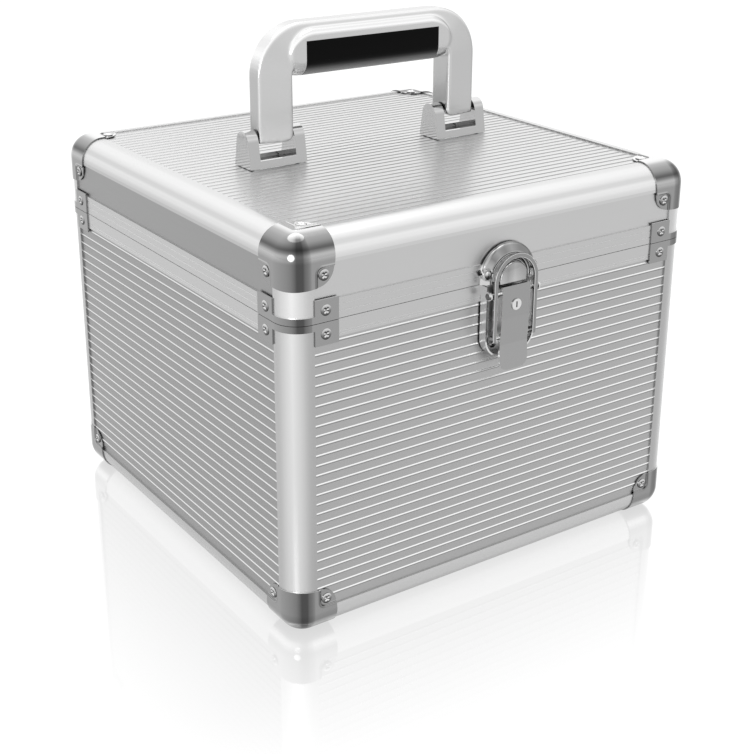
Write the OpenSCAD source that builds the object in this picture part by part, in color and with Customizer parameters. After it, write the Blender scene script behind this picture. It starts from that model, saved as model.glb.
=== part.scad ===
// Ribbed aluminium supply case: a deep base, a hinged lid, a fold-down carrying
// handle and a keyed toggle latch.
// X runs left to right, the latch side faces -Y and +Z is up. The origin is the
// middle of the footprint, on the surface that the case stands on.

/* [Case] */
// Width over the side panels
case_w = 292; // [250:1:400]
// Depth over the front and back panels
case_d = 286; // [250:1:400]
// Height from the standing surface to the split
base_h = 192.7; // [160:0.1:300]
// Height from the split to the lid's top panel
lid_h = 47.5; // [46:0.1:90]
// Gap between lid and base along the split
split_gap = 0.3; // [0.2:0.1:0.6]

/* [Panels] */
// Thickness of the boards
panel_t = 5; // [4:0.5:6]
// Distance between the ribs of the walls
rib_pitch = 6; // [5:0.5:12]
// Distance between the ribs of the lid's top panel
top_rib_pitch = 6.25; // [5:0.25:12]
// Radius of a rolled rib
rib_r = 0.75; // [0.6:0.05:1]
// Height of a rib over its panel
rib_h = 0.4; // [0.2:0.05:0.5]
// Play of a part in its seat
fit_gap = 0.1; // [0.05:0.05:0.2]

/* [Edge extrusions] */
// Outer radius of the rounded edges
edge_r = 14; // [11:0.5:15]
// Thickness of the lips over the panels
lip_t = 1; // [0.8:0.1:1.4]
// Reach of the lips from the corner line
edge_reach = 15; // [14.5:0.5:18]
// Thickness of the legs behind the panels
leg_t = 1.2; // [1:0.1:1.6]

/* [Closing rims] */
// Height of the base rim's face
base_rim_h = 10.3; // [9:0.1:14]
// Height of the lid rim's face
lid_rim_h = 11.8; // [10.5:0.1:16]
// Thickness of the closed part of the base rim
rim_web = 3.2; // [2.4:0.2:4]
// Thickness of the lid rim's outer wall behind the panel face
rim_wall = 2.6; // [2:0.1:3]
// Thickness of the sealing tongue
tongue_t = 2.2; // [1.6:0.1:2.6]
// Height of the sealing tongue
tongue_h = 6; // [4:0.5:6.5]
// Play between the tongue and the lid rim
tongue_gap = 0.4; // [0.3:0.1:0.8]
// Depth of the fine grooves along the rims
groove_depth = 0.25; // [0.1:0.05:0.4]
// Width of the fine grooves along the rims
groove_w = 0.5; // [0.3:0.1:0.8]

/* [Ball corners] */
// Thickness of the pressed corner shells
corner_t = 1; // [0.8:0.1:1.5]
// Length of the arms from the corner
corner_reach = 28.5; // [27:0.5:36]
// Thickness of the screw ears
ear_t = 0.85; // [0.6:0.05:1]
// Corner line to an ear's screw
ear_screw_at = 21; // [20.5:0.1:22]

/* [Rim clasps] */
// Thickness of the clasp plates
clasp_t = 0.8; // [0.6:0.1:1]
// Corner line to the near edge of a leaf
clasp_from = 14.8; // [14.2:0.1:16]
// Width of a leaf
clasp_w = 15.2; // [14:0.2:22]
// Height of a leaf
clasp_h = 13; // [11:0.5:16]
// Height of the band round the corner
clasp_band_h = 4; // [2.5:0.5:6]
// Split to a clasp's screws
clasp_screw_at = 6.8; // [6:0.1:8]

/* [Screws and rivets] */
// Radius of a screw head
screw_head_r = 3.2; // [2.6:0.1:3.4]
// Height of a screw head
screw_head_h = 0.65; // [0.4:0.05:0.7]
// Radius of a screw shank
screw_r = 1.6; // [1.2:0.1:1.8]
// Length of a screw shank
screw_len = 4; // [3:0.1:4.4]
// Radius of a rivet head
rivet_head_r = 2.3; // [1.8:0.1:2.6]
// Height of a rivet head
rivet_head_h = 0.8; // [0.5:0.1:1]
// Radius of a rivet shank
rivet_r = 1.3; // [1:0.1:1.5]

/* [Lining] */
// Thickness of the foam lining
lining_t = 4; // [2:0.5:6]

/* [Hinges] */
// Length of a hinge
hinge_w = 36; // [24:1:60]
// Clasp to the near end of a hinge
hinge_gap = 13; // [2:0.5:30]
// Height of a leaf from the hinge axis
leaf_h = 16; // [14.5:0.5:22]
// Thickness of a leaf
leaf_t = 1; // [0.8:0.1:1.4]
// Radius of the knuckles
knuckle_r = 3.2; // [2.8:0.1:4]
// Radius of the hinge pins
hinge_pin_r = 1.5; // [1.2:0.1:1.8]

/* [Latch] */
// Split to the middle of the latch's round top
arc_rise = 1.8; // [1:0.1:3]
// Outer radius of the catch
catch_r = 20.6; // [19.5:0.1:22]
// Reach of the catch's boss from the front panel
boss_reach = 9; // [8:0.1:9]
// Radius of the catch's boss
boss_r = 10.4; // [9:0.1:11]
// Half the width of the latch base
tray_r = 18.3; // [18:0.1:20]
// Height of the latch base
tray_h = 44.7; // [42:0.1:50]
// Height of the latch base's walls over the front panel
tray_wall = 6.5; // [4:0.1:6.5]
// Radius of the latch base's lower corners
tray_corner_r = 12; // [8:0.5:12]
// Thickness of the latch's sheet
sheet_t = 1; // [0.8:0.1:1.1]
// Front face of the bail and lever from the front panel
latch_reach = 11; // [10.9:0.1:12]
// Thickness of the lever's plate
lever_t = 1.5; // [1.2:0.1:1.6]
// Half the width of the lever's plate
lever_r = 10.4; // [9.5:0.1:10.8]
// Split to the lower end of the lever
lever_drop = 52.7; // [49:0.1:56]
// Split to the lever's pin
lever_pin_drop = 5.6; // [5.4:0.1:7]
// Lever's pin from the front panel
lever_pin_reach = 8; // [7.5:0.1:8]
// Radius of the lever's pin
lever_pin_r = 1.25; // [1:0.05:1.3]
// Outer radius of the bail's round top
bail_r = 16.2; // [15.8:0.1:16.4]
// Width of the bail's strip
bail_w = 2.8; // [2:0.1:3]
// Thickness of the bail's strip
bail_t = 1.6; // [1.2:0.1:1.6]
// Split to the bail's pivots
bail_drop = 32.7; // [28:0.1:34]
// Radius of the bail's pivot studs
stud_r = 1; // [0.8:0.05:1.2]
// Split to the lock's axis
lock_drop = 12.7; // [12.5:0.1:14]
// Radius of the lock's barrel
lock_r = 3; // [2.4:0.1:3]
// Length of the lock's cam from the axis
cam_len = 7; // [5.5:0.1:7]

/* [Handle] */
// Width over the handle's legs
handle_w = 164.6; // [150:0.2:200]
// Height of the handle over the lid's top panel
handle_h = 86.5; // [80:0.5:110]
// Width of a leg
leg_w = 23; // [20:0.5:24]
// Depth of the legs and the outer band at their outer face
leg_d = 12.4; // [10:0.2:14]
// Depth of the legs at their inner face
leg_inner_d = 18; // [14:0.5:19]
// Outer radius of the handle's corners
handle_corner_r = 32; // [26:1:36]
// Length of the grip body
grip_len = 126; // [120:1:136]
// Depth of the grip body
grip_d = 19.6; // [16:0.2:20]
// Height of the grip body
grip_h = 29.5; // [24:0.5:32]
// Drop of the grip body's shoulders below the outer band
grip_drop = 4; // [2:0.5:6]
// Length of the grip insert
insert_len = 100; // [80:1:106]
// Thickness of the grip insert
insert_t = 1.8; // [1.2:0.1:2.4]
// Height of the grip insert from the grip's underside
insert_h = 22; // [16:0.5:23]
// Height of the handle's axis over the lid's top panel
pivot_h = 17.6; // [16:0.1:18.2]
// Radius of a handle pin
pin_r = 1.5; // [1.2:0.1:1.6]
// Running play of pins in their bores
pin_gap = 0.05; // [0.02:0.01:0.08]
// Axis to the lower end of a leg
leg_foot = 2.8; // [2.4:0.1:5]

/* [Handle brackets] */
// Width of a bracket
bracket_w = 40.4; // [38:0.2:48]
// Depth of a bracket's foot
bracket_d = 19.5; // [18:0.5:24]
// Radius of a bracket's round top
bracket_r = 7.1; // [6.5:0.1:8.5]
// Height of a bracket
bracket_h = 22.4; // [21:0.2:26]
// Thickness of a bracket's sheet
bracket_t = 1.2; // [1:0.1:1.5]
// Width of a bracket's window
window_w = 25.6; // [25:0.2:28]
// Height of the strip under a bracket's window
window_sill = 4.6; // [3:0.1:4.8]

/* [Hidden] */

$fn = 48;
fine_fn = 96;                       // facets of the large round faces
eps = 0.01;                         // overrun of a cut or a joint past a face
half_w = case_w / 2;
half_d = case_d / 2;
floor_z = lip_t + corner_t;         // floor board's outer face over the standing surface
split_z = base_h;
top_z = base_h + lid_h;             // outer face of the lid's top panel
rim_gap = split_gap / 2;            // each rim's face to the split
slot_in = 3;                        // a panel slot's end past the middle of the round skin
slot_at = edge_r - lip_t - slot_in; // corner line to the end of a panel slot
panel_at = slot_at + fit_gap;       // corner line to a board's edge
leg_at = panel_t + fit_gap;         // panel face to the front of a leg
leg_back = leg_at + leg_t;          // panel face to the back of a leg
edge_at = edge_reach + fit_gap;     // corner line to the end of an edge or rim
post_at = edge_r - lip_t + 2 * fit_gap;    // corner line to the end of a post
hole_gap = 0.1;                     // radial play of a hole over its fastener
hole_depth = panel_t - 1;           // depth of the blind holes in a board
rivet_in = hole_depth - 0.2;        // length of a rivet's shank in a board

rib_root = 0.3;                     // how far the ribs are set into their panel
rib_play = 0.05;                    // play of a pressed sheet over the ribs
rib_end = 1.1;                      // end of the ribs to the lips beside them
rib_space = 2.5;                    // last rib's middle to the lips beside it
rib_margin = edge_reach + rib_end;  // corner line to the end of the ribs

tongue_at = rim_wall + tongue_gap;  // panel face to the tongue
tongue_bevel = [0.6, 1];            // width and height of the tongue's bevels
shelf_z = tongue_h + 1;             // split to the roof of the tongue's groove
lid_slot = shelf_z + 1.3;           // split to the bottom of the lid rim's panel slot
rim_hole = rim_wall - 0.2;          // depth of the blind holes in a rim
base_grooves = [3.1, 1.8];          // fine grooves over the base rim's lower end
lid_grooves = [3.4, 7.5];           // fine grooves under the lid rim's upper end
lining_at = leg_back + 2 * fit_gap; // panel face to the lining
lining_end = 2;                     // lining of the base walls to the split
lid_lining_end = shelf_z + 0.5;     // lining of the lid walls to the split

shell_wall = 1;                     // wall that joins a shell's arm to its panels
shell_edge = edge_reach + shell_wall;      // corner line to a corner shell's edge
ear_at = edge_reach + shell_wall / 2;      // corner line to the root of an ear
ear_r = corner_reach - ear_at;
panel_clear = rib_h + rib_play;     // panel face to the underside of an ear
clasp_screw_in = 6.9;               // near edge of a leaf to its screws
clasp_screw_x = clasp_from + clasp_screw_in;

knuckle_gap = 0.3;                  // gap between knuckles
hinge_reach = lip_t + knuckle_gap + knuckle_r;     // hinge axis from the back panel
hinge_x = half_w - clasp_from - clasp_w - hinge_gap - hinge_w / 2;   // hinge's middle
leaf_reach = lip_t + leaf_t;        // a leaf's outer face from the back panel
leaf_low = rim_gap + 0.2;           // hinge axis to the near edge of a leaf
leaf_rivet_at = 11;                 // hinge axis to a leaf's rivets
leaf_rivet_x = 11;                  // hinge's middle to its rivets

arc_z = split_z + arc_rise;
lever_pin_z = split_z - lever_pin_drop;
bail_z = split_z - bail_drop;
lock_z = split_z - lock_drop;
latch_gap = 0.4;                    // latch parts to the split and to each other
tray_top = split_z - latch_gap;
tray_bottom = tray_top - tray_h;
tray_rivet_x = 13.8;
tray_rivet_top = split_z - 8.7;
tray_rivet_low_x = 9;
tray_rivet_low = tray_bottom + 6.5;
pin_ear_r = 2.6;                    // ears of the latch base round the lever's pin
pin_head_r = 2;                     // heads of the lever's pin
pin_head_h = 0.6;
lever_back = latch_reach - lever_t;
lever_top = lever_pin_z + 4.8;      // as high as the lever can swing past the tray
lever_bottom = split_z - lever_drop;
lever_tip_r = 5.5;                  // round corners of the lever's finger tongue
lever_bend_top = split_z - 20.6;    // upper crease of the lever
lever_bend_low = bail_z - 4.2;      // lower crease of the lever
lever_dip = 1;                      // how far the lever dips inwards at its lower crease
flange_t = 1.2;
flange_reach = lever_pin_reach - 2.5;      // inner edge of the lever's flanges
flange_top = lever_pin_z + 3.4;
flange_bevel = 1.5;
flange_root = 0.2;                  // how far the flanges are set into the plate
bail_back = latch_reach - bail_t;
bail_eye_r = 2.3;
bail_eye_reach = 8;                 // bail's pivots from the front panel
bail_leg_end = 1;                   // end of the bail's strips below its pivots
stud_head_r = 1.8;
stud_head_h = 0.5;
catch_bottom = split_z + latch_gap;
catch_rivet_x = 17;
catch_rivet_z = arc_z + 4.5;
catch_seat = 5.4;                   // seats of the catch's rivets from the front panel
seat_r = rivet_head_r + hole_gap;
hood_reach = 6.4;                   // ridge of the catch's hood from the front panel
hood_ridge = 5.2;                   // width of the hood from its rim to its ridge
hood_bend = [3.4, 5.6];             // bend of the hood: from its rim, from the panel
hood_foot = [1.2, 3.8];             // bend over the hood's upright edge
groove_floor = 4.6;                 // groove round the boss from the front panel
groove_in = 1;                      // boss to the near edge of the groove's floor
groove_out = 3.6;                   // boss to the far edge of the groove's floor
boss_bevel = 0.6;
lock_head_r = 3.4;
lock_head_h = 0.7;
keyway = [0.9, 3, 3.6];             // width, depth and height of the keyhole
plug_pin_r = 1;                     // pin that carries the cam on the barrel
cam_t = 1.2;
cam_w = 3.6;
cam_hub_r = 2.2;
cam_reach = lever_back - 4.5;       // back of the lock's cam from the front panel
keeper_t = 1.2;
keeper_lip = [2.9, 0.9];            // length and thickness of the keeper's lip
keeper_gap = 0.5;                   // cam to the keeper

case_y = (latch_reach + lock_head_h - hinge_reach - knuckle_r) / 2;  // case to footprint middle

handle_x = (handle_w - leg_w) / 2;  // middle of the handle to a leg's middle
pivot_z = top_z + pivot_h;
handle_z = handle_h - pivot_h;      // top of the handle over its axis
grip_top = handle_z - grip_drop;    // shoulders of the grip body over the axis
grip_low = grip_top - grip_h;       // underside of the grip body over the axis
grip_top_r = 19;                    // round ends of the grip body, above and below
grip_low_r = 10.5;
leg_over = 1;                       // how far the legs' section is drawn past their outline
leg_slope = (leg_inner_d - leg_d) / 2 / leg_w;     // how fast the legs deepen inwards
handle_arc_x = handle_w / 2 - handle_corner_r;     // middles of the handle's round corners
handle_arc_z = handle_z - handle_corner_r;
grip_shoulder_r = 5;                // shoulders of the grip body along its length
leg_foot_r = 4;                     // round right-hand corner of a leg's foot
foot_h = rib_h + rib_play;          // bracket's foot over the lid's top panel
foot_slit = 2;                      // height of the slit under a bracket's arch
tab_w = 4;                          // width of a bracket's tabs
tab_x = bracket_w / 2 - tab_w;      // bracket's middle to a tab's middle
backing_t = 1.2;
backing_drop = panel_t + fit_gap / 2;
backing_over = [2, 3];              // backing plate past its bracket, along X and Y
cheek_x = window_w / 2;             // bracket's middle to the inside of its cheeks

sides = [-1, 1];

// ---- shared shapes -------------------------------------------------------

// Puts a finished piece where the case stands over the footprint's middle
module placed() {
    translate([0, case_y, 0]) children();
}

// Moves a shape drawn inwards from a corner's lines to the corner at side sx, sy
module at_corner(sx, sy) {
    translate([sx * half_w, sy * half_d, 0])
        mirror([sx > 0 ? 1 : 0, 0, 0])
            mirror([0, sy > 0 ? 1 : 0, 0])
                children();
}

// A shape drawn up from a panel plane, stood on the base's floor
module from_floor() {
    translate([0, 0, floor_z]) children();
}

// A shape drawn down from a panel plane, hung under the lid's top
module from_top() {
    translate([0, 0, top_z]) mirror([0, 0, 1]) children();
}

// A shape with +Y pointing out of the front panel
module on_front() {
    translate([0, -half_d, 0]) mirror([0, 1, 0]) children();
}

// A shape with +Y pointing out of the back panel
module on_back() {
    translate([0, half_d, 0]) children();
}

// A shape with X along side 0 front, 1 right, 2 back or 3 left, and +Y outwards
module on_side(side) {
    if (side == 0) on_front() children();
    if (side == 1) rotate([0, 0, -90]) translate([0, half_w, 0]) children();
    if (side == 2) on_back() children();
    if (side == 3) rotate([0, 0, 90]) translate([0, half_w, 0]) children();
}

// Length of the case along a side
function side_len(side) = side % 2 == 0 ? case_w : case_d;

// Square whose outer corner is rounded, drawn inwards from the corner lines
module rounded_edge(r, out, reach) {
    centre = r - out;
    difference() {
        translate([-out, -out]) square(reach + out);
        difference() {
            translate([-out, -out]) square(r);
            translate([centre, centre]) circle(r);
        }
    }
}

// Section of an edge extrusion: round skin, two panel slots and two inner legs
module edge_section() {
    difference() {
        rounded_edge(edge_r, lip_t, edge_reach);
        translate([leg_back, leg_back]) square(edge_reach);
        translate([slot_at, 0]) square([edge_reach, leg_at]);
        translate([0, slot_at]) square([leg_at, edge_reach]);
    }
}

// One eighth of a ball, from its middle towards -X, -Y and -Z
module ball_octant(r) {
    intersection() {
        sphere(r);
        translate([-r, -r, -r]) cube(r);
    }
}

// Everything above Z = 0 within the given reach
module above(reach) {
    translate([-reach, -reach, 0]) cube([2 * reach, 2 * reach, reach]);
}

// Runs its child, drawn along Z at a corner, along each of the three edges
module three_ways() {
    children();
    rotate([90, 0, 90]) children();
    mirror([0, 1, 0]) rotate([90, 0, 0]) children();
}

// Low-headed cross-recess screw standing on Z = 0, its shank pointing to -Z
module screw() {
    recess_w = screw_head_r / 4;
    recess_len = 1.2 * screw_head_r;
    recess_depth = 0.7 * screw_head_h;
    rim_h = screw_head_h / 3;
    shoulder = [0.7 * screw_head_r, 0.9 * screw_head_h];
    crown_r = 0.3 * screw_head_r;
    difference() {
        union() {
            rotate_extrude() polygon([[0, 0], [screw_head_r, 0], [screw_head_r, rim_h],
                shoulder, [crown_r, screw_head_h], [0, screw_head_h]]);
            translate([0, 0, -screw_len]) cylinder(r = screw_r, h = screw_len + rim_h / 2);
        }
        for (turn = [45, 135])
            rotate([0, 0, turn])
                translate([-recess_len / 2, -recess_w / 2, screw_head_h - recess_depth])
                    cube([recess_len, recess_w, screw_head_h]);
    }
}

// Domed rivet standing on Z = 0, its shank pointing to -Z
module rivet(len) {
    dome_r = (rivet_head_r * rivet_head_r + rivet_head_h * rivet_head_h) / (2 * rivet_head_h);
    intersection() {
        translate([0, 0, rivet_head_h - dome_r]) sphere(dome_r);
        cylinder(r = rivet_head_r, h = rivet_head_h);
    }
    translate([0, 0, -len]) cylinder(r = rivet_r, h = len + rivet_head_h / 4);
}

// ---- panels ----------------------------------------------------------------

// Section of the ribs over a strip, at the given heights, which rise
module rib_section(heights) {
    low = heights[0];
    span = heights[len(heights) - 1] - low;
    intersection() {
        union() {
            translate([-rib_root, low - rib_r]) square([rib_root, span + 2 * rib_r]);
            for (height = heights) translate([rib_h - rib_r, height]) circle(rib_r, $fn = 32);
        }
        translate([-rib_root, low - 2 * rib_r])
            square([rib_root + rib_r, span + 4 * rib_r]);
    }
}

wall_rib_top = split_z - base_rim_h - rib_space;
wall_rib_span = wall_rib_top - floor_z - edge_reach - rib_space;
wall_ribs = [for (i = [floor(wall_rib_span / rib_pitch) : -1 : 0]) wall_rib_top - i * rib_pitch];
top_rib_span = half_d - edge_reach - rib_space;
top_rib_count = floor(top_rib_span / top_rib_pitch);
top_ribs = [for (i = [-top_rib_count : top_rib_count]) i * top_rib_pitch];

// Positions of the fasteners that go into a base panel, as [x, z] and a radius
function base_wall_holes(side) = [for (s = sides) [s * (side_len(side) / 2 - ear_screw_at),
    floor_z + ear_screw_at], for (s = sides) [s * (side_len(side) / 2 - clasp_screw_x),
    split_z - clasp_screw_at]];

function latch_holes() = [for (s = sides) [s * tray_rivet_x, tray_rivet_top],
    for (s = sides) [s * tray_rivet_low_x, tray_rivet_low]];

function hinge_holes(rise) = [for (s = sides) for (t = sides)
    [s * hinge_x + t * leaf_rivet_x, split_z + rise]];

// Blind holes from the outer face of a side inwards
module side_holes(places, r, depth) {
    for (place = places)
        translate([place[0], -depth, place[1]])
            rotate([-90, 0, 0]) cylinder(r = r, h = depth + 2 * lip_t);
}

// Ribbed board of the base's side
module base_panel(side) {
    length = side_len(side) - 2 * panel_at;
    rib_len = side_len(side) - 2 * rib_margin;
    low = floor_z + panel_at;
    placed() on_side(side) difference() {
        union() {
            translate([-length / 2, -panel_t, low])
                cube([length, panel_t, split_z - rim_web - fit_gap - low]);
            translate([-rib_len / 2, 0, 0]) rotate([90, 0, 90])
                linear_extrude(rib_len) rib_section(wall_ribs);
        }
        side_holes(base_wall_holes(side), screw_r + hole_gap, hole_depth);
        if (side == 0) side_holes(latch_holes(), rivet_r + hole_gap, hole_depth);
        if (side == 2) side_holes(hinge_holes(-leaf_rivet_at), rivet_r + hole_gap, hole_depth);
    }
}

module base_front_panel() { color("#a9abad") base_panel(0); }
module base_right_panel() { color("#a9abad") base_panel(1); }
module base_back_panel() { color("#a9abad") base_panel(2); }
module base_left_panel() { color("#a9abad") base_panel(3); }

// Board of the base's floor
module base_floor_panel() {
    color("#8d8f91") placed() from_floor() difference() {
        translate([panel_at - half_w, panel_at - half_d, 0])
            cube([case_w - 2 * panel_at, case_d - 2 * panel_at, panel_t]);
        for (sx = sides) for (sy = sides) at_corner(sx, sy)
            translate([ear_screw_at, ear_screw_at, -eps])
                cylinder(r = screw_r + hole_gap, h = hole_depth);
    }
}

// Ribbed board of the lid's top, with slits for the brackets' tabs
module lid_top_panel() {
    rib_len = case_w - 2 * rib_margin;
    color("#e2e3e4") placed() difference() {
        union() {
            translate([panel_at - half_w, panel_at - half_d, top_z - panel_t])
                cube([case_w - 2 * panel_at, case_d - 2 * panel_at, panel_t]);
            translate([-rib_len / 2, 0, top_z]) rotate([90, 0, 90])
                linear_extrude(rib_len) rotate([0, 0, 90]) rib_section(top_ribs);
        }
        for (sx = sides) for (sy = sides) at_corner(sx, sy)
            translate([ear_screw_at, ear_screw_at, top_z - hole_depth])
                cylinder(r = screw_r + hole_gap, h = panel_t);
        for (s = sides) translate([s * handle_x, 0, 0])
            bracket_tabs(fit_gap, panel_t + fit_gap, foot_h + rib_h);
    }
}

// Smooth board of the lid's side, with its ball corners' and hinge leaves' holes
module lid_band(side) {
    length = side_len(side) - 2 * panel_at;
    low = split_z + lid_slot + fit_gap;
    color("#bcbdbf") placed() on_side(side) difference() {
        translate([-length / 2, -panel_t, low]) cube([length, panel_t, top_z - panel_at - low]);
        side_holes([for (s = sides) [s * (side_len(side) / 2 - ear_screw_at),
            top_z - ear_screw_at]], screw_r + hole_gap, hole_depth);
        if (side == 2) side_holes(hinge_holes(leaf_rivet_at), rivet_r + hole_gap, hole_depth);
    }
}

module lid_front_band() { lid_band(0); }
module lid_right_band() { lid_band(1); }
module lid_back_band() { lid_band(2); }
module lid_left_band() { lid_band(3); }

// ---- frame -----------------------------------------------------------------

// Corner post of the base
module base_post(sx, sy) {
    color("#d9dadb") placed() at_corner(sx, sy)
        translate([0, 0, floor_z + post_at])
            linear_extrude(split_z - rim_gap - floor_z - post_at) edge_section();
}

module base_post_front_left() { base_post(-1, -1); }
module base_post_front_right() { base_post(1, -1); }
module base_post_back_left() { base_post(-1, 1); }
module base_post_back_right() { base_post(1, 1); }

// Extrusion along X at a lower edge, then one along Y
module edge_along_x() {
    translate([edge_at, 0, 0]) rotate([90, 0, 90])
        linear_extrude(case_w - 2 * edge_at) edge_section();
}

module edge_along_y() {
    translate([0, edge_at, 0]) mirror([0, 1, 0]) rotate([90, 0, 0])
        linear_extrude(case_d - 2 * edge_at) edge_section();
}

module edge_frame() {
    for (sy = sides) at_corner(-1, sy) edge_along_x();
    for (sx = sides) at_corner(sx, -1) edge_along_y();
}

module base_edges() {
    color("#d9dadb") placed() from_floor() edge_frame();
}

module lid_edges() {
    color("#eeeeee") placed() from_top() edge_frame();
}

module lid_posts() {
    color("#e6e6e7") placed() for (sx = sides) for (sy = sides) at_corner(sx, sy)
        translate([0, 0, split_z + rim_gap])
            linear_extrude(top_z - post_at - split_z - rim_gap) edge_section();
}

// ---- closing rims ------------------------------------------------------------

// Points of a fine groove in a rim's face, from above to below
function groove(height) = [[-lip_t, height + groove_w / 2],
    [groove_depth - lip_t, height + groove_w / 4],
    [groove_depth - lip_t, height - groove_w / 4], [-lip_t, height - groove_w / 2]];

// Section of the base rim, inwards from the panel face and up from the split
module base_rim_section() {
    tongue_end = tongue_at + tongue_t;
    bevel_z = tongue_h - tongue_bevel[1];
    polygon(concat([[-lip_t, -rim_gap]], groove(base_grooves[0] - base_rim_h),
        groove(base_grooves[1] - base_rim_h), [[-lip_t, -base_rim_h], [0, -base_rim_h],
        [0, -rim_web], [leg_at, -rim_web], [leg_at, -base_rim_h], [leg_back, -base_rim_h],
        [leg_back, -rim_gap], [tongue_end, -rim_gap], [tongue_end, bevel_z],
        [tongue_end - tongue_bevel[0], tongue_h], [tongue_at + tongue_bevel[0], tongue_h],
        [tongue_at, bevel_z], [tongue_at, -rim_gap]]));
}

// Section of the lid rim, inwards from the panel face and up from the split
module lid_rim_section() {
    polygon(concat([[rim_wall, rim_gap], [rim_wall, shelf_z], [leg_back, shelf_z],
        [leg_back, lid_rim_h], [leg_at, lid_rim_h], [leg_at, lid_slot], [0, lid_slot],
        [0, lid_rim_h], [-lip_t, lid_rim_h]], groove(lid_rim_h - lid_grooves[0]),
        groove(lid_rim_h - lid_grooves[1]), [[-lip_t, rim_gap]]));
}

// Rim bar along a side, from a section drawn inwards from the panel face
module rim_bar(side) {
    length = side_len(side) - 2 * edge_at;
    on_side(side) translate([-length / 2, 0, split_z])
        rotate([90, 0, 90]) linear_extrude(length) mirror([1, 0, 0]) children();
}

module base_rim() {
    color("#cfd0d1") placed() difference() {
        for (side = [0 : 3]) rim_bar(side) base_rim_section();
        for (side = [0 : 3]) on_side(side)
            side_holes(base_wall_holes(side), screw_r + hole_gap, hole_depth);
        on_side(0) side_holes(latch_holes(), rivet_r + hole_gap, hole_depth);
        on_side(2) side_holes(hinge_holes(-leaf_rivet_at), rivet_r + hole_gap, hole_depth);
    }
}

module lid_rim() {
    color("#d4d5d6") placed() difference() {
        for (side = [0 : 3]) rim_bar(side) lid_rim_section();
        for (side = [0 : 3]) on_side(side)
            side_holes([for (s = sides) [s * (side_len(side) / 2 - clasp_screw_x),
                split_z + clasp_screw_at]], screw_r + hole_gap, rim_hole);
        on_side(0) side_holes(catch_places(), rivet_r + hole_gap, rim_hole);
        on_side(2) side_holes(hinge_holes(leaf_rivet_at), rivet_r + hole_gap, hole_depth);
    }
}

// ---- ball corners --------------------------------------------------------------

// Section of a shell's arm: a round skin with a narrow wall down to the panel
module shell_section() {
    centre = edge_r - lip_t;
    difference() {
        rounded_edge(edge_r + corner_t, lip_t + corner_t, shell_edge);
        rounded_edge(edge_r, lip_t, edge_reach + fit_gap / 2);
        translate([centre, -panel_clear]) square(corner_reach);
        translate([-panel_clear, centre]) square(corner_reach);
    }
}

// Pressed shell over a corner of the case, drawn inwards from the panel planes
module ball_corner() {
    out = lip_t + corner_t;
    centre = edge_r - lip_t;
    arm_len = corner_reach - centre;
    difference() {
        union() {
            three_ways() translate([0, 0, centre]) linear_extrude(arm_len) shell_section();
            translate([centre, centre, centre]) ball_octant(edge_r + corner_t);
            three_ways() translate([ear_at, ear_at, -panel_clear - ear_t])
                linear_extrude(ear_t) intersection() {
                    circle(ear_r);
                    square(ear_r);
                }
        }
        union() {
            three_ways() translate([0, 0, centre]) linear_extrude(arm_len + 1)
                rounded_edge(edge_r, lip_t, edge_reach + fit_gap / 2);
            translate([centre, centre, centre]) ball_octant(edge_r);
        }
        three_ways() translate([ear_screw_at, ear_screw_at, -out - 1])
            cylinder(r = screw_r + hole_gap, h = out + 1);
    }
}

module base_corner(sx, sy) {
    color("#b4b6b9") placed() at_corner(sx, sy) from_floor() ball_corner();
}

module lid_corner(sx, sy) {
    color("#b4b6b9") placed() at_corner(sx, sy) from_top() ball_corner();
}

module base_corner_front_left() { base_corner(-1, -1); }
module base_corner_front_right() { base_corner(1, -1); }
module base_corner_back_left() { base_corner(-1, 1); }
module base_corner_back_right() { base_corner(1, 1); }
module lid_corner_front_left() { lid_corner(-1, -1); }
module lid_corner_front_right() { lid_corner(1, -1); }
module lid_corner_back_left() { lid_corner(-1, 1); }
module lid_corner_back_right() { lid_corner(1, 1); }

// The three screws of a ball corner, drawn inwards from the panel planes
module corner_screw_set() {
    three_ways() translate([ear_screw_at, ear_screw_at, -panel_clear - ear_t])
        mirror([0, 0, 1]) screw();
}

module base_corner_screws() {
    color("#9fa1a4") placed() for (sx = sides) for (sy = sides)
        at_corner(sx, sy) from_floor() corner_screw_set();
}

module lid_corner_screws() {
    color("#9fa1a4") placed() for (sx = sides) for (sy = sides)
        at_corner(sx, sy) from_top() corner_screw_set();
}

// ---- rim clasps ------------------------------------------------------------------

// Plate that joins two rim bars round a post, drawn upwards from the split
module clasp() {
    out = lip_t + clasp_t;
    reach = clasp_from + clasp_w;
    difference() {
        union() {
            translate([0, 0, rim_gap]) linear_extrude(clasp_band_h) clasp_strip(out, reach);
            translate([0, 0, rim_gap]) linear_extrude(clasp_h) intersection() {
                clasp_strip(out, reach);
                union() {
                    translate([clasp_from, -out]) square([clasp_w, out]);
                    translate([-out, clasp_from]) square([out, clasp_w]);
                }
            }
        }
        translate([clasp_screw_x, 0, clasp_screw_at]) rotate([90, 0, 0])
            cylinder(r = screw_r + hole_gap, h = out + 1);
        translate([0, clasp_screw_x, clasp_screw_at]) rotate([0, -90, 0])
            cylinder(r = screw_r + hole_gap, h = out + 1);
    }
}

module clasp_strip(out, reach) {
    difference() {
        rounded_edge(edge_r + clasp_t, out, reach);
        rounded_edge(edge_r, lip_t, reach + 1);
    }
}

module clasp_screw_pair() {
    out = lip_t + clasp_t;
    translate([clasp_screw_x, -out, clasp_screw_at]) rotate([90, 0, 0]) screw();
    translate([-out, clasp_screw_x, clasp_screw_at]) rotate([0, -90, 0]) screw();
}

module lid_clasps() {
    color("#b4b6b9") placed() translate([0, 0, split_z])
        for (sx = sides) for (sy = sides) at_corner(sx, sy) clasp();
}

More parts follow.
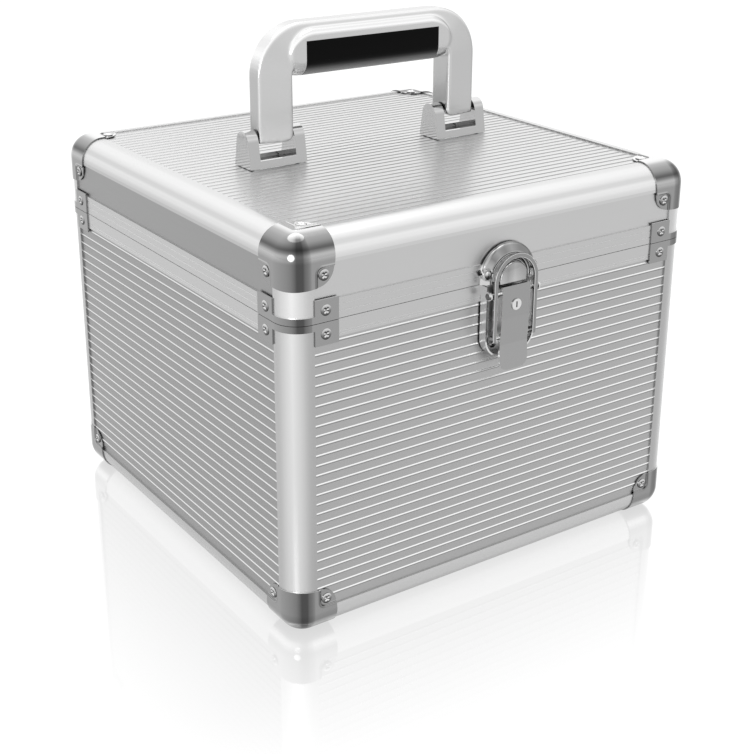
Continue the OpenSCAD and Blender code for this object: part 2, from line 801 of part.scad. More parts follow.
module base_clasps() {
    color("#b4b6b9") placed() translate([0, 0, split_z]) mirror([0, 0, 1])
        for (sx = sides) for (sy = sides) at_corner(sx, sy) clasp();
}

module lid_clasp_screws() {
    color("#9fa1a4") placed() translate([0, 0, split_z])
        for (sx = sides) for (sy = sides) at_corner(sx, sy) clasp_screw_pair();
}

module base_clasp_screws() {
    color("#9fa1a4") placed() translate([0, 0, split_z]) mirror([0, 0, 1])
        for (sx = sides) for (sy = sides) at_corner(sx, sy) clasp_screw_pair();
}

// ---- lining --------------------------------------------------------------------------

// Four wall sheets between two heights
module wall_lining(low, high) {
    outer_w = case_w - 2 * lining_at;
    inner_d = case_d - 2 * (lining_at + lining_t + fit_gap);
    for (sy = sides) translate([-outer_w / 2, sy * (half_d - lining_at - lining_t / 2)
        - lining_t / 2, low]) cube([outer_w, lining_t, high - low]);
    for (sx = sides) translate([sx * (half_w - lining_at - lining_t / 2) - lining_t / 2,
        -inner_d / 2, low]) cube([lining_t, inner_d, high - low]);
}

// Flat sheet across the case, from the given height up
module flat_lining(low) {
    translate([lining_at - half_w, lining_at - half_d, low])
        cube([case_w - 2 * lining_at, case_d - 2 * lining_at, lining_t]);
}

module base_floor_lining() {
    color("#2b2b2d") placed() flat_lining(floor_z + lining_at);
}

module base_wall_lining() {
    color("#2b2b2d") placed()
        wall_lining(floor_z + lining_at + lining_t + fit_gap, split_z - lining_end);
}

module lid_top_lining() {
    color("#2b2b2d") placed() flat_lining(top_z - lining_at - lining_t);
}

module lid_wall_lining() {
    color("#2b2b2d") placed()
        wall_lining(split_z + lid_lining_end, top_z - lining_at - lining_t - fit_gap);
}

// ---- hinges ----------------------------------------------------------------------------

// Knuckle number 0, 1 or 2 along a hinge
module knuckle(i, bore_r) {
    pitch = hinge_w / 3;
    translate([(i - 1) * pitch - (pitch - knuckle_gap) / 2, hinge_reach, 0])
        rotate([0, 90, 0]) difference() {
            cylinder(r = knuckle_r, h = pitch - knuckle_gap);
            translate([0, 0, -1]) cylinder(r = bore_r, h = pitch + 2);
        }
}

// A leaf drawn upwards from the axis, with the knuckles of the list rolled on it
module hinge_leaf(knuckles, others, bore_r) {
    pitch = hinge_w / 3;
    clear = knuckle_r + knuckle_gap;
    difference() {
        union() {
            translate([-hinge_w / 2, lip_t, leaf_low])
                cube([hinge_w, leaf_t, leaf_h - leaf_low]);
            for (i = knuckles) knuckle(i, bore_r);
        }
        for (i = knuckles) translate([(i - 1) * pitch, hinge_reach, 0]) rotate([0, 90, 0])
            cylinder(r = bore_r, h = pitch + 1, center = true);
        for (i = others) translate([(i - 1) * pitch - pitch / 2, 0, -clear])
            cube([pitch, hinge_reach, 2 * clear]);
        for (t = sides) translate([t * leaf_rivet_x, 0, leaf_rivet_at]) rotate([-90, 0, 0])
            cylinder(r = rivet_r + hole_gap, h = leaf_reach + 1);
    }
}

module hinge_base_leaves() {
    color("#c4c6c8") placed() for (s = sides) on_back()
        translate([s * hinge_x, 0, split_z]) mirror([0, 0, 1])
            hinge_leaf([0, 2], [1], hinge_pin_r + pin_gap);
}

module hinge_lid_leaves() {
    color("#c4c6c8") placed() for (s = sides) on_back()
        translate([s * hinge_x, 0, split_z])
            hinge_leaf([1], [0, 2], hinge_pin_r + pin_gap);
}

module hinge_pins() {
    color("#8f9194") placed() for (s = sides) on_back()
        translate([s * hinge_x - hinge_w / 2, hinge_reach, split_z])
            rotate([0, 90, 0]) cylinder(r = hinge_pin_r, h = hinge_w);
}

module leaf_rivets(rise) {
    placed() for (s = sides) for (t = sides) on_back()
        translate([s * hinge_x + t * leaf_rivet_x, leaf_reach, split_z + rise])
            rotate([-90, 0, 0]) rivet(leaf_reach + rivet_in);
}

module hinge_base_rivets() { color("#9fa1a4") leaf_rivets(-leaf_rivet_at); }
module hinge_lid_rivets() { color("#9fa1a4") leaf_rivets(leaf_rivet_at); }

// ---- latch -----------------------------------------------------------------------------

function catch_places() = [for (s = sides) [s * catch_rivet_x, catch_rivet_z]];

// Section of the catch: a sloping hood, a groove and a raised boss, all one sheet
module catch_section() {
    foot = catch_r - hood_foot[0];
    bend = catch_r - hood_bend[0];
    ridge = catch_r - hood_ridge;
    near = boss_r + groove_in;
    far = boss_r + groove_out;
    half_t = sheet_t / 2;
    polygon([[catch_r, lip_t], [catch_r, hood_foot[1] - hood_foot[0] - half_t],
        [foot, hood_foot[1]], [bend, hood_bend[1]], [ridge, hood_reach],
        [far + half_t, hood_reach], [far, groove_floor], [near, groove_floor],
        [boss_r, groove_floor + boss_bevel], [boss_r, boss_reach - boss_bevel],
        [boss_r - boss_bevel, boss_reach], [0, boss_reach], [0, boss_reach - sheet_t],
        [boss_r - boss_bevel - half_t, boss_reach - sheet_t],
        [boss_r - sheet_t, boss_reach - boss_bevel - half_t],
        [boss_r - sheet_t, groove_floor], [boss_r, groove_floor - sheet_t],
        [far + sheet_t, groove_floor - sheet_t],
        [far + 1.2 * sheet_t, hood_reach - 1.2 * sheet_t],
        [ridge, hood_reach - sheet_t], [bend - half_t, hood_bend[1] - sheet_t],
        [foot - sheet_t, hood_foot[1] - half_t], [catch_r - sheet_t, lip_t]]);
}

module latch_catch() {
    color("#c2c4c6") placed() on_front() difference() {
        union() {
            translate([0, 0, arc_z]) intersection() {
                rotate([-90, 0, 0]) rotate_extrude($fn = fine_fn) catch_section();
                above(2 * catch_r);
            }
            for (s = [0, 1]) mirror([s, 0, 0]) translate([0, 0, catch_bottom])
                linear_extrude(arc_z - catch_bottom) catch_section();
            for (place = catch_places()) translate([place[0], lip_t, place[1]])
                rotate([-90, 0, 0]) cylinder(r = seat_r + sheet_t / 2, h = catch_seat - lip_t);
        }
        for (place = catch_places()) translate([place[0], 0, place[1]])
            rotate([-90, 0, 0]) {
                cylinder(r = rivet_r + hole_gap, h = boss_reach);
                translate([0, 0, catch_seat]) cylinder(r = seat_r, h = boss_reach);
            }
    }
}

module latch_catch_rivets() {
    color("#9fa1a4") placed() on_front() for (place = catch_places())
        translate([place[0], catch_seat, place[1]]) rotate([-90, 0, 0])
            rivet(catch_seat + rim_hole - fit_gap);
}

// Outline of the latch base, inset by the given amount
module tray_outline(inset) {
    corner = tray_corner_r - inset;
    x = tray_r - tray_corner_r;
    z = tray_bottom + tray_corner_r;
    for (s = sides) translate([s * x, z]) circle(corner);
    translate([-x, tray_bottom + inset]) square([2 * x, tray_corner_r]);
    translate([-tray_r + inset, z]) square([2 * (tray_r - inset), tray_top - z]);
}

// Extrudes an outline drawn in X and Z outwards between two distances from the panel
module outwards(from, to) {
    translate([0, to, 0]) rotate([90, 0, 0]) linear_extrude(to - from) children();
}

module latch_base() {
    wall_x = tray_r - sheet_t;
    color("#b9bbbd") placed() on_front() difference() {
        union() {
            outwards(lip_t, lip_t + sheet_t) tray_outline(0);
            outwards(lip_t, tray_wall) difference() {
                tray_outline(0);
                tray_outline(sheet_t);
            }
            for (s = sides) translate([s > 0 ? wall_x : -tray_r, 0, 0]) pin_ear();
            keeper();
        }
        translate([-tray_r - 1, lever_pin_reach, lever_pin_z]) rotate([0, 90, 0])
            cylinder(r = lever_pin_r + pin_gap, h = 2 * tray_r + 2);
        side_holes_out(latch_holes(), rivet_r + hole_gap, lip_t + sheet_t + 1);
    }
}

// Ear of the latch base that carries one end of the lever's pin
module pin_ear() {
    translate([0, tray_wall - eps, lever_pin_z - pin_ear_r])
        cube([sheet_t, lever_pin_reach - tray_wall, 2 * pin_ear_r]);
    translate([0, lever_pin_reach, lever_pin_z]) rotate([0, 90, 0])
        cylinder(r = pin_ear_r, h = sheet_t);
}

// Keeper behind whose lip the lock's cam turns
module keeper() {
    post_x = cam_len + keeper_gap;
    lip_from = cam_reach + cam_t + keeper_gap;
    height = 2 * cam_w;
    translate([post_x, lip_t, lock_z - height / 2])
        cube([keeper_t, lip_from + keeper_lip[1] - lip_t, height]);
    translate([post_x - keeper_lip[0], lip_from, lock_z - height / 2])
        cube([keeper_lip[0] + eps, keeper_lip[1], height]);
}

// Through holes from the panel face outwards
module side_holes_out(places, r, depth) {
    for (place = places) translate([place[0], 0, place[1]])
        rotate([-90, 0, 0]) cylinder(r = r, h = depth);
}

module latch_base_rivets() {
    color("#9fa1a4") placed() on_front() for (place = latch_holes())
        translate([place[0], lip_t + sheet_t, place[1]]) rotate([-90, 0, 0])
            rivet(lip_t + sheet_t + rivet_in);
}

module latch_lever_pin() {
    half_len = tray_r + fit_gap;
    color("#9fa1a4") placed() on_front() translate([0, lever_pin_reach, lever_pin_z])
        rotate([0, 90, 0]) {
            cylinder(r = lever_pin_r, h = 2 * half_len, center = true);
            for (s = sides) translate([0, 0, s * (half_len + pin_head_h / 2)])
                cylinder(r = pin_head_r, h = pin_head_h, center = true);
        }
}

// Outline of the lever's plate, with a round finger tongue below
module lever_outline() {
    x = lever_r - lever_tip_r;
    z = lever_bottom + lever_tip_r;
    for (s = sides) translate([s * x, z]) circle(lever_tip_r);
    translate([-x, lever_bottom]) square([2 * x, lever_tip_r]);
    translate([-lever_r, z]) square([2 * lever_r, lever_top - z]);
}

// Side view of the lever's creased plate, outwards and up
module lever_side() {
    polygon([[lever_back, lever_top], [latch_reach, lever_top], [latch_reach, lever_bend_top],
        [latch_reach - lever_dip, lever_bend_low], [latch_reach, lever_bottom],
        [lever_back, lever_bottom], [lever_back - lever_dip, lever_bend_low],
        [lever_back, lever_bend_top]]);
}

// Side view of a flange of the lever, outwards and up
module flange_side() {
    low = lever_bend_low + flange_root;
    into = lever_back + flange_root;
    polygon([[flange_reach, low + flange_bevel], [flange_reach, flange_top - flange_bevel],
        [flange_reach + flange_bevel, flange_top], [into, flange_top],
        [into, lever_bend_top], [into - lever_dip, low], [flange_reach + flange_bevel, low]]);
}

module latch_lever() {
    color("#b0b2b4") placed() on_front() difference() {
        union() {
            intersection() {
                outwards(0, latch_reach) lever_outline();
                translate([-lever_r, 0, 0]) rotate([90, 0, 90])
                    linear_extrude(2 * lever_r) lever_side();
            }
            for (s = sides) translate([s > 0 ? lever_r - flange_t : -lever_r, 0, 0])
                rotate([90, 0, 90]) linear_extrude(flange_t) flange_side();
        }
        translate([-lever_r - 1, lever_pin_reach, lever_pin_z]) rotate([0, 90, 0])
            cylinder(r = lever_pin_r + pin_gap, h = 2 * lever_r + 2);
        translate([-lever_r - 1, bail_eye_reach, bail_z]) rotate([0, 90, 0])
            cylinder(r = stud_r + pin_gap, h = 2 * lever_r + 2);
        translate([0, 0, lock_z]) rotate([-90, 0, 0])
            cylinder(r = lock_r + pin_gap, h = latch_reach + 1);
    }
}

module latch_bail_studs() {
    from = lever_r - flange_t;
    shank = bail_r + fit_gap - from;
    color("#9fa1a4") placed() on_front() for (s = sides)
        translate([s * from, bail_eye_reach, bail_z]) rotate([0, s * 90, 0]) {
            cylinder(r = stud_r, h = shank + eps);
            translate([0, 0, shank]) cylinder(r = stud_head_r, h = stud_head_h);
        }
}

// Section of the bail's strip, outwards from its inner edge
module bail_section() {
    round_r = bail_t / 3;
    for (x = [round_r, bail_w - round_r]) for (y = [round_r, bail_t - round_r])
        translate([x, y]) circle(round_r, $fn = 24);
    translate([round_r, 0]) square([bail_w - 2 * round_r, bail_t]);
    translate([0, round_r]) square([bail_w, bail_t - 2 * round_r]);
}

module latch_bail() {
    inner_r = bail_r - bail_w;
    leg = arc_z - bail_z + bail_leg_end;
    color("#cdcfd1") placed() on_front() difference() {
        union() {
            translate([0, bail_back, arc_z]) intersection() {
                rotate([-90, 0, 0]) rotate_extrude($fn = fine_fn)
                    translate([inner_r, 0]) bail_section();
                above(2 * bail_r);
            }
            for (s = [0, 1]) mirror([s, 0, 0]) translate([inner_r, bail_back, arc_z - leg])
                linear_extrude(leg) bail_section();
            for (s = sides) translate([s > 0 ? inner_r : -bail_r, bail_eye_reach, bail_z])
                rotate([0, 90, 0]) cylinder(r = bail_eye_r, h = bail_w);
        }
        translate([-bail_r - 1, bail_eye_reach, bail_z]) rotate([0, 90, 0])
            cylinder(r = stud_r + pin_gap, h = 2 * bail_r + 2);
    }
}

module lock_plug() {
    barrel_from = cam_reach + cam_t;
    color("#dadbdc") placed() on_front() translate([0, 0, lock_z]) difference() {
        rotate([-90, 0, 0]) {
            translate([0, 0, cam_reach]) cylinder(r = plug_pin_r, h = cam_t + eps);
            translate([0, 0, barrel_from])
                cylinder(r = lock_r, h = latch_reach + lock_head_h - barrel_from);
            translate([0, 0, latch_reach + pin_gap])
                cylinder(r = lock_head_r, h = lock_head_h - pin_gap);
        }
        translate([-keyway[0] / 2, latch_reach + lock_head_h - keyway[1], -keyway[2] / 2])
            cube(keyway);
    }
}

module lock_cam() {
    color("#8f9194") placed() on_front() translate([0, 0, lock_z]) difference() {
        outwards(cam_reach, cam_reach + cam_t - 2 * eps) {
            circle(cam_hub_r);
            translate([-cam_w / 2, -cam_len]) square([cam_w, cam_len]);
        }
        rotate([-90, 0, 0]) cylinder(r = plug_pin_r + 2 * eps, h = lever_back);
    }
}

// ---- handle ----------------------------------------------------------------------------

// Arch of a bracket seen from its end: straight sides that lean against a round top
module arch(inset) {
    r = bracket_r - inset;
    foot = bracket_d / 2 - inset;
    middle = bracket_h - bracket_r;
    lean = atan2(middle, foot) + asin(r / norm([foot, middle]));
    side = sqrt(foot * foot + middle * middle - r * r);
    touch = [foot - side * cos(lean), side * sin(lean)];
    polygon([[-foot, 0], [foot, 0], touch, [0, middle], [-touch[0], touch[1]]]);
    translate([0, middle]) circle(r);
}

// Extrudes a shape drawn in Y and Z along X, about X = 0
module across(width) {
    translate([-width / 2, 0, 0]) rotate([90, 0, 90]) linear_extrude(width) children();
}

// Tabs of a bracket, grown by a gap, from a depth under the lid's top to a height over it
module bracket_tabs(gap, depth, height) {
    for (sx = sides) for (sy = sides)
        translate([sx * tab_x - tab_w / 2 - gap,
            sy * (bracket_d - bracket_t) / 2 - bracket_t / 2 - gap, top_z - depth])
            cube([tab_w + 2 * gap, bracket_t + 2 * gap, depth + height]);
}

module handle_bracket(s) {
    room = bracket_d / 2 - bracket_t;
    color("#c6c8ca") placed() translate([s * handle_x, 0, 0]) {
        difference() {
            translate([0, 0, top_z + foot_h]) union() {
                difference() {
                    across(bracket_w) arch(0);
                    across(bracket_w + 2) arch(bracket_t);
                    translate([-bracket_w, -room, -eps])
                        cube([2 * bracket_w, 2 * room, foot_slit]);
                    translate([-window_w / 2, -bracket_d, window_sill])
                        cube([window_w, 2 * bracket_d, bracket_h]);
                }
                for (t = sides) for (x = [cheek_x, bracket_w / 2 - bracket_t])
                    translate([t * (x + bracket_t / 2), 0, 0])
                        across(bracket_t) arch(bracket_t / 2);
            }
            translate([0, 0, pivot_z]) rotate([0, 90, 0])
                cylinder(r = pin_r + pin_gap, h = window_w + 3 * bracket_t, center = true);
        }
        bracket_tabs(0, backing_drop + backing_t, foot_h + eps);
    }
}

module handle_bracket_left() { handle_bracket(-1); }
module handle_bracket_right() { handle_bracket(1); }

module handle_backing_plates() {
    size = [bracket_w + 2 * backing_over[0], bracket_d + 2 * backing_over[1], backing_t];
    color("#9a9c9f") placed() for (s = sides) translate([s * handle_x, 0, 0]) difference() {
        translate([-size[0] / 2, -size[1] / 2, top_z - backing_drop - backing_t]) cube(size);
        bracket_tabs(fit_gap, backing_drop + 2 * backing_t, 0);
    }
}

module handle_pins() {
    color("#8f9194") placed() for (s = sides) translate([s * handle_x, 0, pivot_z])
        rotate([0, 90, 0]) cylinder(r = pin_r, h = 2 * (cheek_x + bracket_t), center = true);
}

// Outline of the handle's outer band and legs, from the axis up
module handle_outline() {
    x = handle_arc_x;
    z = handle_arc_z;
    difference() {
        union() {
            for (s = sides) translate([s * x, z]) circle(handle_corner_r, $fn = fine_fn);
            translate([-x, z]) square([2 * x, handle_corner_r]);
            translate([-handle_w / 2, -leg_foot]) square([handle_w, z + leg_foot]);
        }
        translate([-handle_x + leg_w / 2, -leg_foot - 1])
            square([2 * handle_x - leg_w, leg_foot + 1 + grip_low + grip_h / 2]);
        for (s = sides) translate([s * handle_x + leg_w / 2, -leg_foot]) mirror([1, 0])
            corner_cut(leg_foot_r);
    }
}

// Section of the legs and the outer band, from their outer face at X = 0 inwards
module leg_section() {
    thin = leg_d / 2 - leg_over * leg_slope;
    deep = leg_inner_d / 2 + leg_over * leg_slope;
    far = leg_w + leg_over;
    polygon([[-leg_over, -thin], [far, -deep], [far, deep], [-leg_over, thin]]);
}

// Legs and outer band: their section led up one side, over the top and down the other
module handle_band() {
    intersection() {
        translate([0, leg_inner_d, 0]) rotate([90, 0, 0])
            linear_extrude(2 * leg_inner_d) handle_outline();
        union() {
            for (s = [0, 1]) mirror([s, 0, 0]) {
                translate([-handle_w / 2, 0, -leg_foot - leg_over])
                    linear_extrude(handle_arc_z + leg_foot + leg_over) leg_section();
                translate([-handle_arc_x, 0, handle_arc_z]) rotate([90, 0, 0])
                    rotate([0, 0, 90]) rotate_extrude(angle = 90, $fn = fine_fn)
                        translate([handle_corner_r, 0]) mirror([1, 0]) leg_section();
            }
            translate([-handle_arc_x, 0, handle_z]) rotate([0, 90, 0])
                linear_extrude(2 * handle_arc_x) leg_section();
        }
    }
}

// What a corner loses when it is rounded, drawn from its tip at the origin
module corner_cut(r) {
    difference() {
        square(r);
        translate([r, r]) circle(r, $fn = fine_fn);
    }
}

// Outline of the grip body seen from the front
module grip_outline() {
    x = grip_len / 2;
    difference() {
        translate([-x, grip_low]) square([grip_len, grip_h]);
        for (s = [0, 1]) mirror([s, 0]) {
            translate([-x, grip_top]) mirror([0, 1]) corner_cut(grip_top_r);
            translate([-x, grip_low]) corner_cut(grip_low_r);
        }
    }
}

// Section of the grip body across X, inset by the given amount
module grip_section(inset) {
    r = grip_d / 2 - inset;
    middle = grip_low + grip_d / 2;
    translate([0, middle]) circle(r);
    difference() {
        translate([-r, middle]) square([2 * r, grip_top - inset - middle]);
        for (s = [0, 1]) mirror([s, 0]) translate([-r, grip_top - inset])
            mirror([0, 1]) corner_cut(grip_shoulder_r);
    }
}

module handle_frame() {
    color("#d2d3d5") placed() translate([0, 0, pivot_z]) difference() {
        union() {
            handle_band();
            intersection() {
                across(grip_len) grip_section(0);
                translate([0, grip_d / 2, 0]) rotate([90, 0, 0])
                    linear_extrude(grip_d) grip_outline();
            }
        }
        for (s = sides) translate([s * handle_x, 0, 0]) rotate([0, 90, 0])
            cylinder(r = pin_r + pin_gap, h = leg_w + 2, center = true);
        translate([-insert_len / 2 - fit_gap / 2, -grip_d, grip_low - 1])
            cube([insert_len + fit_gap, 2 * grip_d, 1 + eps]);
        grip_recess();
    }
}

// Room for the grip insert in the grip body
module grip_recess() {
    length = insert_len + fit_gap;
    intersection() {
        across(length) difference() {
            translate([-grip_d, grip_low - 1]) square([2 * grip_d, grip_h]);
            grip_section(insert_t + fit_gap / 2);
        }
        translate([-length / 2, -grip_d, grip_low - 1])
            cube([length, 2 * grip_d, insert_h + fit_gap / 2 + 1]);
    }
}

module handle_grip_insert() {
    color("#161616") placed() translate([0, 0, pivot_z]) intersection() {
        across(insert_len) difference() {
            grip_section(0);
            grip_section(insert_t);
        }
        translate([-insert_len / 2, -grip_d, grip_low - 1])
            cube([insert_len, 2 * grip_d, insert_h + 1]);
    }
}

base_front_panel();
base_back_panel();
base_left_panel();
base_right_panel();
base_floor_panel();
base_post_front_left();
base_post_front_right();
base_post_back_left();
base_post_back_right();
base_edges();
base_rim();
base_corner_front_left();
base_corner_front_right();
base_corner_back_left();
base_corner_back_right();
base_clasps();
base_corner_screws();
base_clasp_screws();
base_floor_lining();
base_wall_lining();
latch_base();
latch_base_rivets();
latch_lever_pin();
hinge_base_leaves();
hinge_base_rivets();
hinge_pins();
latch_lever();
latch_bail_studs();
latch_bail();
lock_plug();
lock_cam();
lid_top_panel();
lid_front_band();
lid_back_band();
lid_left_band();
lid_right_band();
lid_posts();
lid_edges();
lid_rim();
lid_corner_front_left();
lid_corner_front_right();
lid_corner_back_left();
lid_corner_back_right();
lid_clasps();
lid_corner_screws();
lid_clasp_screws();
lid_top_lining();
lid_wall_lining();
latch_catch();
latch_catch_rivets();
hinge_lid_leaves();
hinge_lid_rivets();
handle_bracket_left();
handle_bracket_right();
handle_backing_plates();
handle_pins();
handle_frame();
handle_grip_insert();
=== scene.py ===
"""Dresses a ribbed aluminium supply case: finishes, modelled sheet metal, studio and camera."""
import itertools
import logging
import math
from dataclasses import dataclass
from enum import Enum
from typing import Sequence

import bmesh
import bpy
from mathutils import Matrix, Vector


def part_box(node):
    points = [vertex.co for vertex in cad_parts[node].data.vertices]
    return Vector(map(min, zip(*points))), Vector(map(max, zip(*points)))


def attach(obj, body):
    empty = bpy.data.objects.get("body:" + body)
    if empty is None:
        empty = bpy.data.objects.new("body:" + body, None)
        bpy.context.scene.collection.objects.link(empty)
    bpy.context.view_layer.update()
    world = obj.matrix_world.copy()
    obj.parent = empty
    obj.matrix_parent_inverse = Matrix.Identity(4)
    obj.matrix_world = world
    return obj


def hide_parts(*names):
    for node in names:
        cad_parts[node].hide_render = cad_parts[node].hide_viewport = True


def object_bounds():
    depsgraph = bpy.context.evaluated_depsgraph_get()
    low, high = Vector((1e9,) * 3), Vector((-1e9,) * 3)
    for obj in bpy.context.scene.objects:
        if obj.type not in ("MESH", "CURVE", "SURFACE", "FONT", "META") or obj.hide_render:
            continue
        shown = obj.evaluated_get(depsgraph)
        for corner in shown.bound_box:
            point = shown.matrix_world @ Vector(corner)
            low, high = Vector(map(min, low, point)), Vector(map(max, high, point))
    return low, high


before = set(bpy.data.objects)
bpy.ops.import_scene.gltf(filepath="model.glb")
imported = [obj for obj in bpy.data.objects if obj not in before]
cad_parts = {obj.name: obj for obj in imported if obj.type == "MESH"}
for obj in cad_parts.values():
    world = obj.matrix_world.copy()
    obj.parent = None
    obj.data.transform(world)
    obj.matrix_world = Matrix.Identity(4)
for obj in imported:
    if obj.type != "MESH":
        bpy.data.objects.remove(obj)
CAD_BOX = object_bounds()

LOG = logging.getLogger("supply_case")
MM = 0.001
PLACES = ("front_left", "front_right", "back_left", "back_right")
WHITE = "#FFFFFF"
# Where the painted grey of a round turn fades to a painted white towards the top.
POLE_FADE = (0.8, 0.97)
GRAIN_DETAIL = 3.0

Point = tuple[float, float, float]
Pair = tuple[float, float]
Stops = tuple[Pair, ...]
Section = tuple[Pair, ...]
Tree, Node, Socket = bpy.types.NodeTree, bpy.types.Node, bpy.types.NodeSocket
Material, Object, Mesh = bpy.types.Material, bpy.types.Object, bmesh.types.BMesh


# ---- shader helpers

def hex_to_linear(code: str) -> tuple[float, float, float, float]:
    """Turns an sRGB hex colour into linear RGBA.

    Args:
        code: six hex digits, with or without a leading hash.

    Returns:
        Linear red, green, blue and an alpha of 1.
    """
    digits = code.lstrip("#")
    channels = [int(digits[i:i + 2], 16) / 255 for i in (0, 2, 4)]
    linear = [c / 12.92 if c <= 0.04045 else ((c + 0.055) / 1.055) ** 2.4 for c in channels]
    return (*linear, 1.0)


def add_node(tree: Tree, kind: str, settings: dict | None = None, links: dict | None = None) -> Node:
    """Adds one node with its settings and links.

    Args:
        tree: the node tree that gets the node.
        kind: the node's type name, without the ShaderNode that each one starts with.
        settings: attribute names, or input names or numbers, and their values.
        links: input names or numbers, and the sockets that feed them.

    Returns:
        The new node.
    """
    node = tree.nodes.new("ShaderNode" + kind)
    for name, value in (settings or {}).items():
        if isinstance(name, str) and hasattr(node, name):
            setattr(node, name, value)
        else:
            node.inputs[name].default_value = value
    for name, source in (links or {}).items():
        tree.links.new(source, node.inputs[name])
    return node


def empty_tree(owner: Material | bpy.types.World) -> Tree:
    """Gives a material or the surroundings an empty node tree, and returns it."""
    owner.use_nodes = True
    owner.node_tree.nodes.clear()
    return owner.node_tree


def vector_step(tree: Tree, operation: str, source: Socket, second: Point | None = None) -> Socket:
    """Works on a vector.

    Args:
        tree: the node tree.
        operation: what is done, such as NORMALIZE.
        source: the vector.
        second: the fixed vector that the operation needs, if any.

    Returns:
        The resulting vector's socket.
    """
    settings = {"operation": operation} if second is None else {"operation": operation, 1: second}
    return add_node(tree, "VectorMath", settings, {0: source}).outputs[0]


def greater(tree: Tree, first: Socket, second: Socket) -> Socket:
    """Returns a socket with the greater of two values."""
    return add_node(tree, "Math", {"operation": "MAXIMUM"}, {0: first, 1: second}).outputs["Value"]


def set_ramp(node: Node, stops: Sequence[tuple[float, str]]) -> None:
    """Sets a colour ramp's stops.

    Args:
        node: the ramp node.
        stops: positions from 0 to 1 and their hex colours, in rising order.
    """
    elements = node.color_ramp.elements
    while len(elements) > 1:
        elements.remove(elements[-1])
    elements[0].position = stops[0][0]
    elements[0].color = hex_to_linear(stops[0][1])
    for position, code in stops[1:]:
        elements.new(position).color = hex_to_linear(code)


# ---- finishes

class Turn(Enum):
    """What a metal's painted light and shade follows: a part of the skin's direction on the object."""

    ACROSS = "towards the right"
    DEPTH = "towards the back"
    HEIGHT = "upwards"
    ROUND = "towards either side, as seen from above"
    CORNER = "squarely along any axis"


def grey(level: float) -> str:
    """Returns the hex code of a neutral grey from 0 to 255."""
    return "#" + f"{round(level):02X}" * 3


@dataclass(frozen=True)
class Finish:
    """What every finish has: a name and how rough it is."""

    name: str
    roughness: float

    def start(self, metallic: float) -> tuple[Material, Tree, Node]:
        """Makes an empty material with its Principled shader.

        Args:
            metallic: 1 for a metal, 0 for anything else.

        Returns:
            The material, its node tree and the shader node.
        """
        material = bpy.data.materials.new(self.name)
        tree = empty_tree(material)
        shader = add_node(tree, "BsdfPrincipled", {"Roughness": self.roughness, "Metallic": metallic})
        output = add_node(tree, "OutputMaterial")
        tree.links.new(shader.outputs["BSDF"], output.inputs["Surface"])
        return material, tree, shader

    def build(self) -> Material:
        """Returns the material. Each kind of finish makes its own."""
        raise NotImplementedError

    def painted_tone(self, tree: Tree, turn: Turn, stops: Stops) -> Socket:
        """Painted light and shade: a grey that follows which way the skin is turned on the object itself.

        The turn seen from above has no meaning at the top, so the painted grey fades to white there.

        Args:
            tree: the material's nodes.
            turn: what the grey follows.
            stops: the values of the turn, and the painted brightness there from 0 to 255.

        Returns:
            The colour's socket.
        """
        normal = add_node(tree, "TexCoord").outputs["Normal"]
        facing = normal
        if turn is Turn.ROUND:
            facing = vector_step(tree, "NORMALIZE", vector_step(tree, "MULTIPLY", facing, (1.0, 1.0, 0.0)))
        if turn in (Turn.ROUND, Turn.CORNER):
            facing = vector_step(tree, "ABSOLUTE", facing)
        axes = add_node(tree, "SeparateXYZ", {}, {"Vector": facing})
        value = axes.outputs[{Turn.DEPTH: "Y", Turn.HEIGHT: "Z"}.get(turn, "X")]
        if turn is Turn.CORNER:
            for name in ("Y", "Z"):
                value = greater(tree, value, axes.outputs[name])
        share = add_node(tree, "MapRange", {"From Min": -1.0, "From Max": 1.0}, {"Value": value})
        ramp = add_node(tree, "ValToRGB", {}, {"Fac": share.outputs["Result"]})
        set_ramp(ramp, [((place + 1) / 2, grey(level)) for place, level in stops])
        if turn is not Turn.ROUND:
            return ramp.outputs["Color"]
        height = add_node(tree, "SeparateXYZ", {}, {"Vector": normal}).outputs["Z"]
        faded = add_node(tree, "MapRange", {"From Min": POLE_FADE[0], "From Max": POLE_FADE[1]},
                         {"Value": height})
        return add_node(tree, "Mix", {"data_type": "RGBA", 7: hex_to_linear(WHITE)},
                        {0: faded.outputs["Result"], 6: ramp.outputs["Color"]}).outputs[2]

    def grain(self, tree: Tree, pitch_mm: Point) -> Socket:
        """Fine streaks or specks of a real size.

        Args:
            tree: the material's nodes.
            pitch_mm: the size of a speck along X, Y and Z.

        Returns:
            A socket from 0 to 1.
        """
        place = add_node(tree, "TexCoord")
        scale = tuple(1 / (mm * MM) for mm in pitch_mm)
        spread = add_node(tree, "Mapping", {"Scale": scale}, {"Vector": place.outputs["Object"]})
        return add_node(tree, "TexNoise", {"Scale": 1.0, "Detail": GRAIN_DETAIL},
                        {"Vector": spread.outputs["Vector"]}).outputs["Fac"]

    def roughen(self, tree: Tree, shader: Node, height: Socket, strength: float, depth_mm: float) -> None:
        """Gives a shader a fine bump of a real depth."""
        bump = add_node(tree, "Bump", {"Strength": strength, "Distance": depth_mm * MM}, {"Height": height})
        tree.links.new(bump.outputs["Normal"], shader.inputs["Normal"])


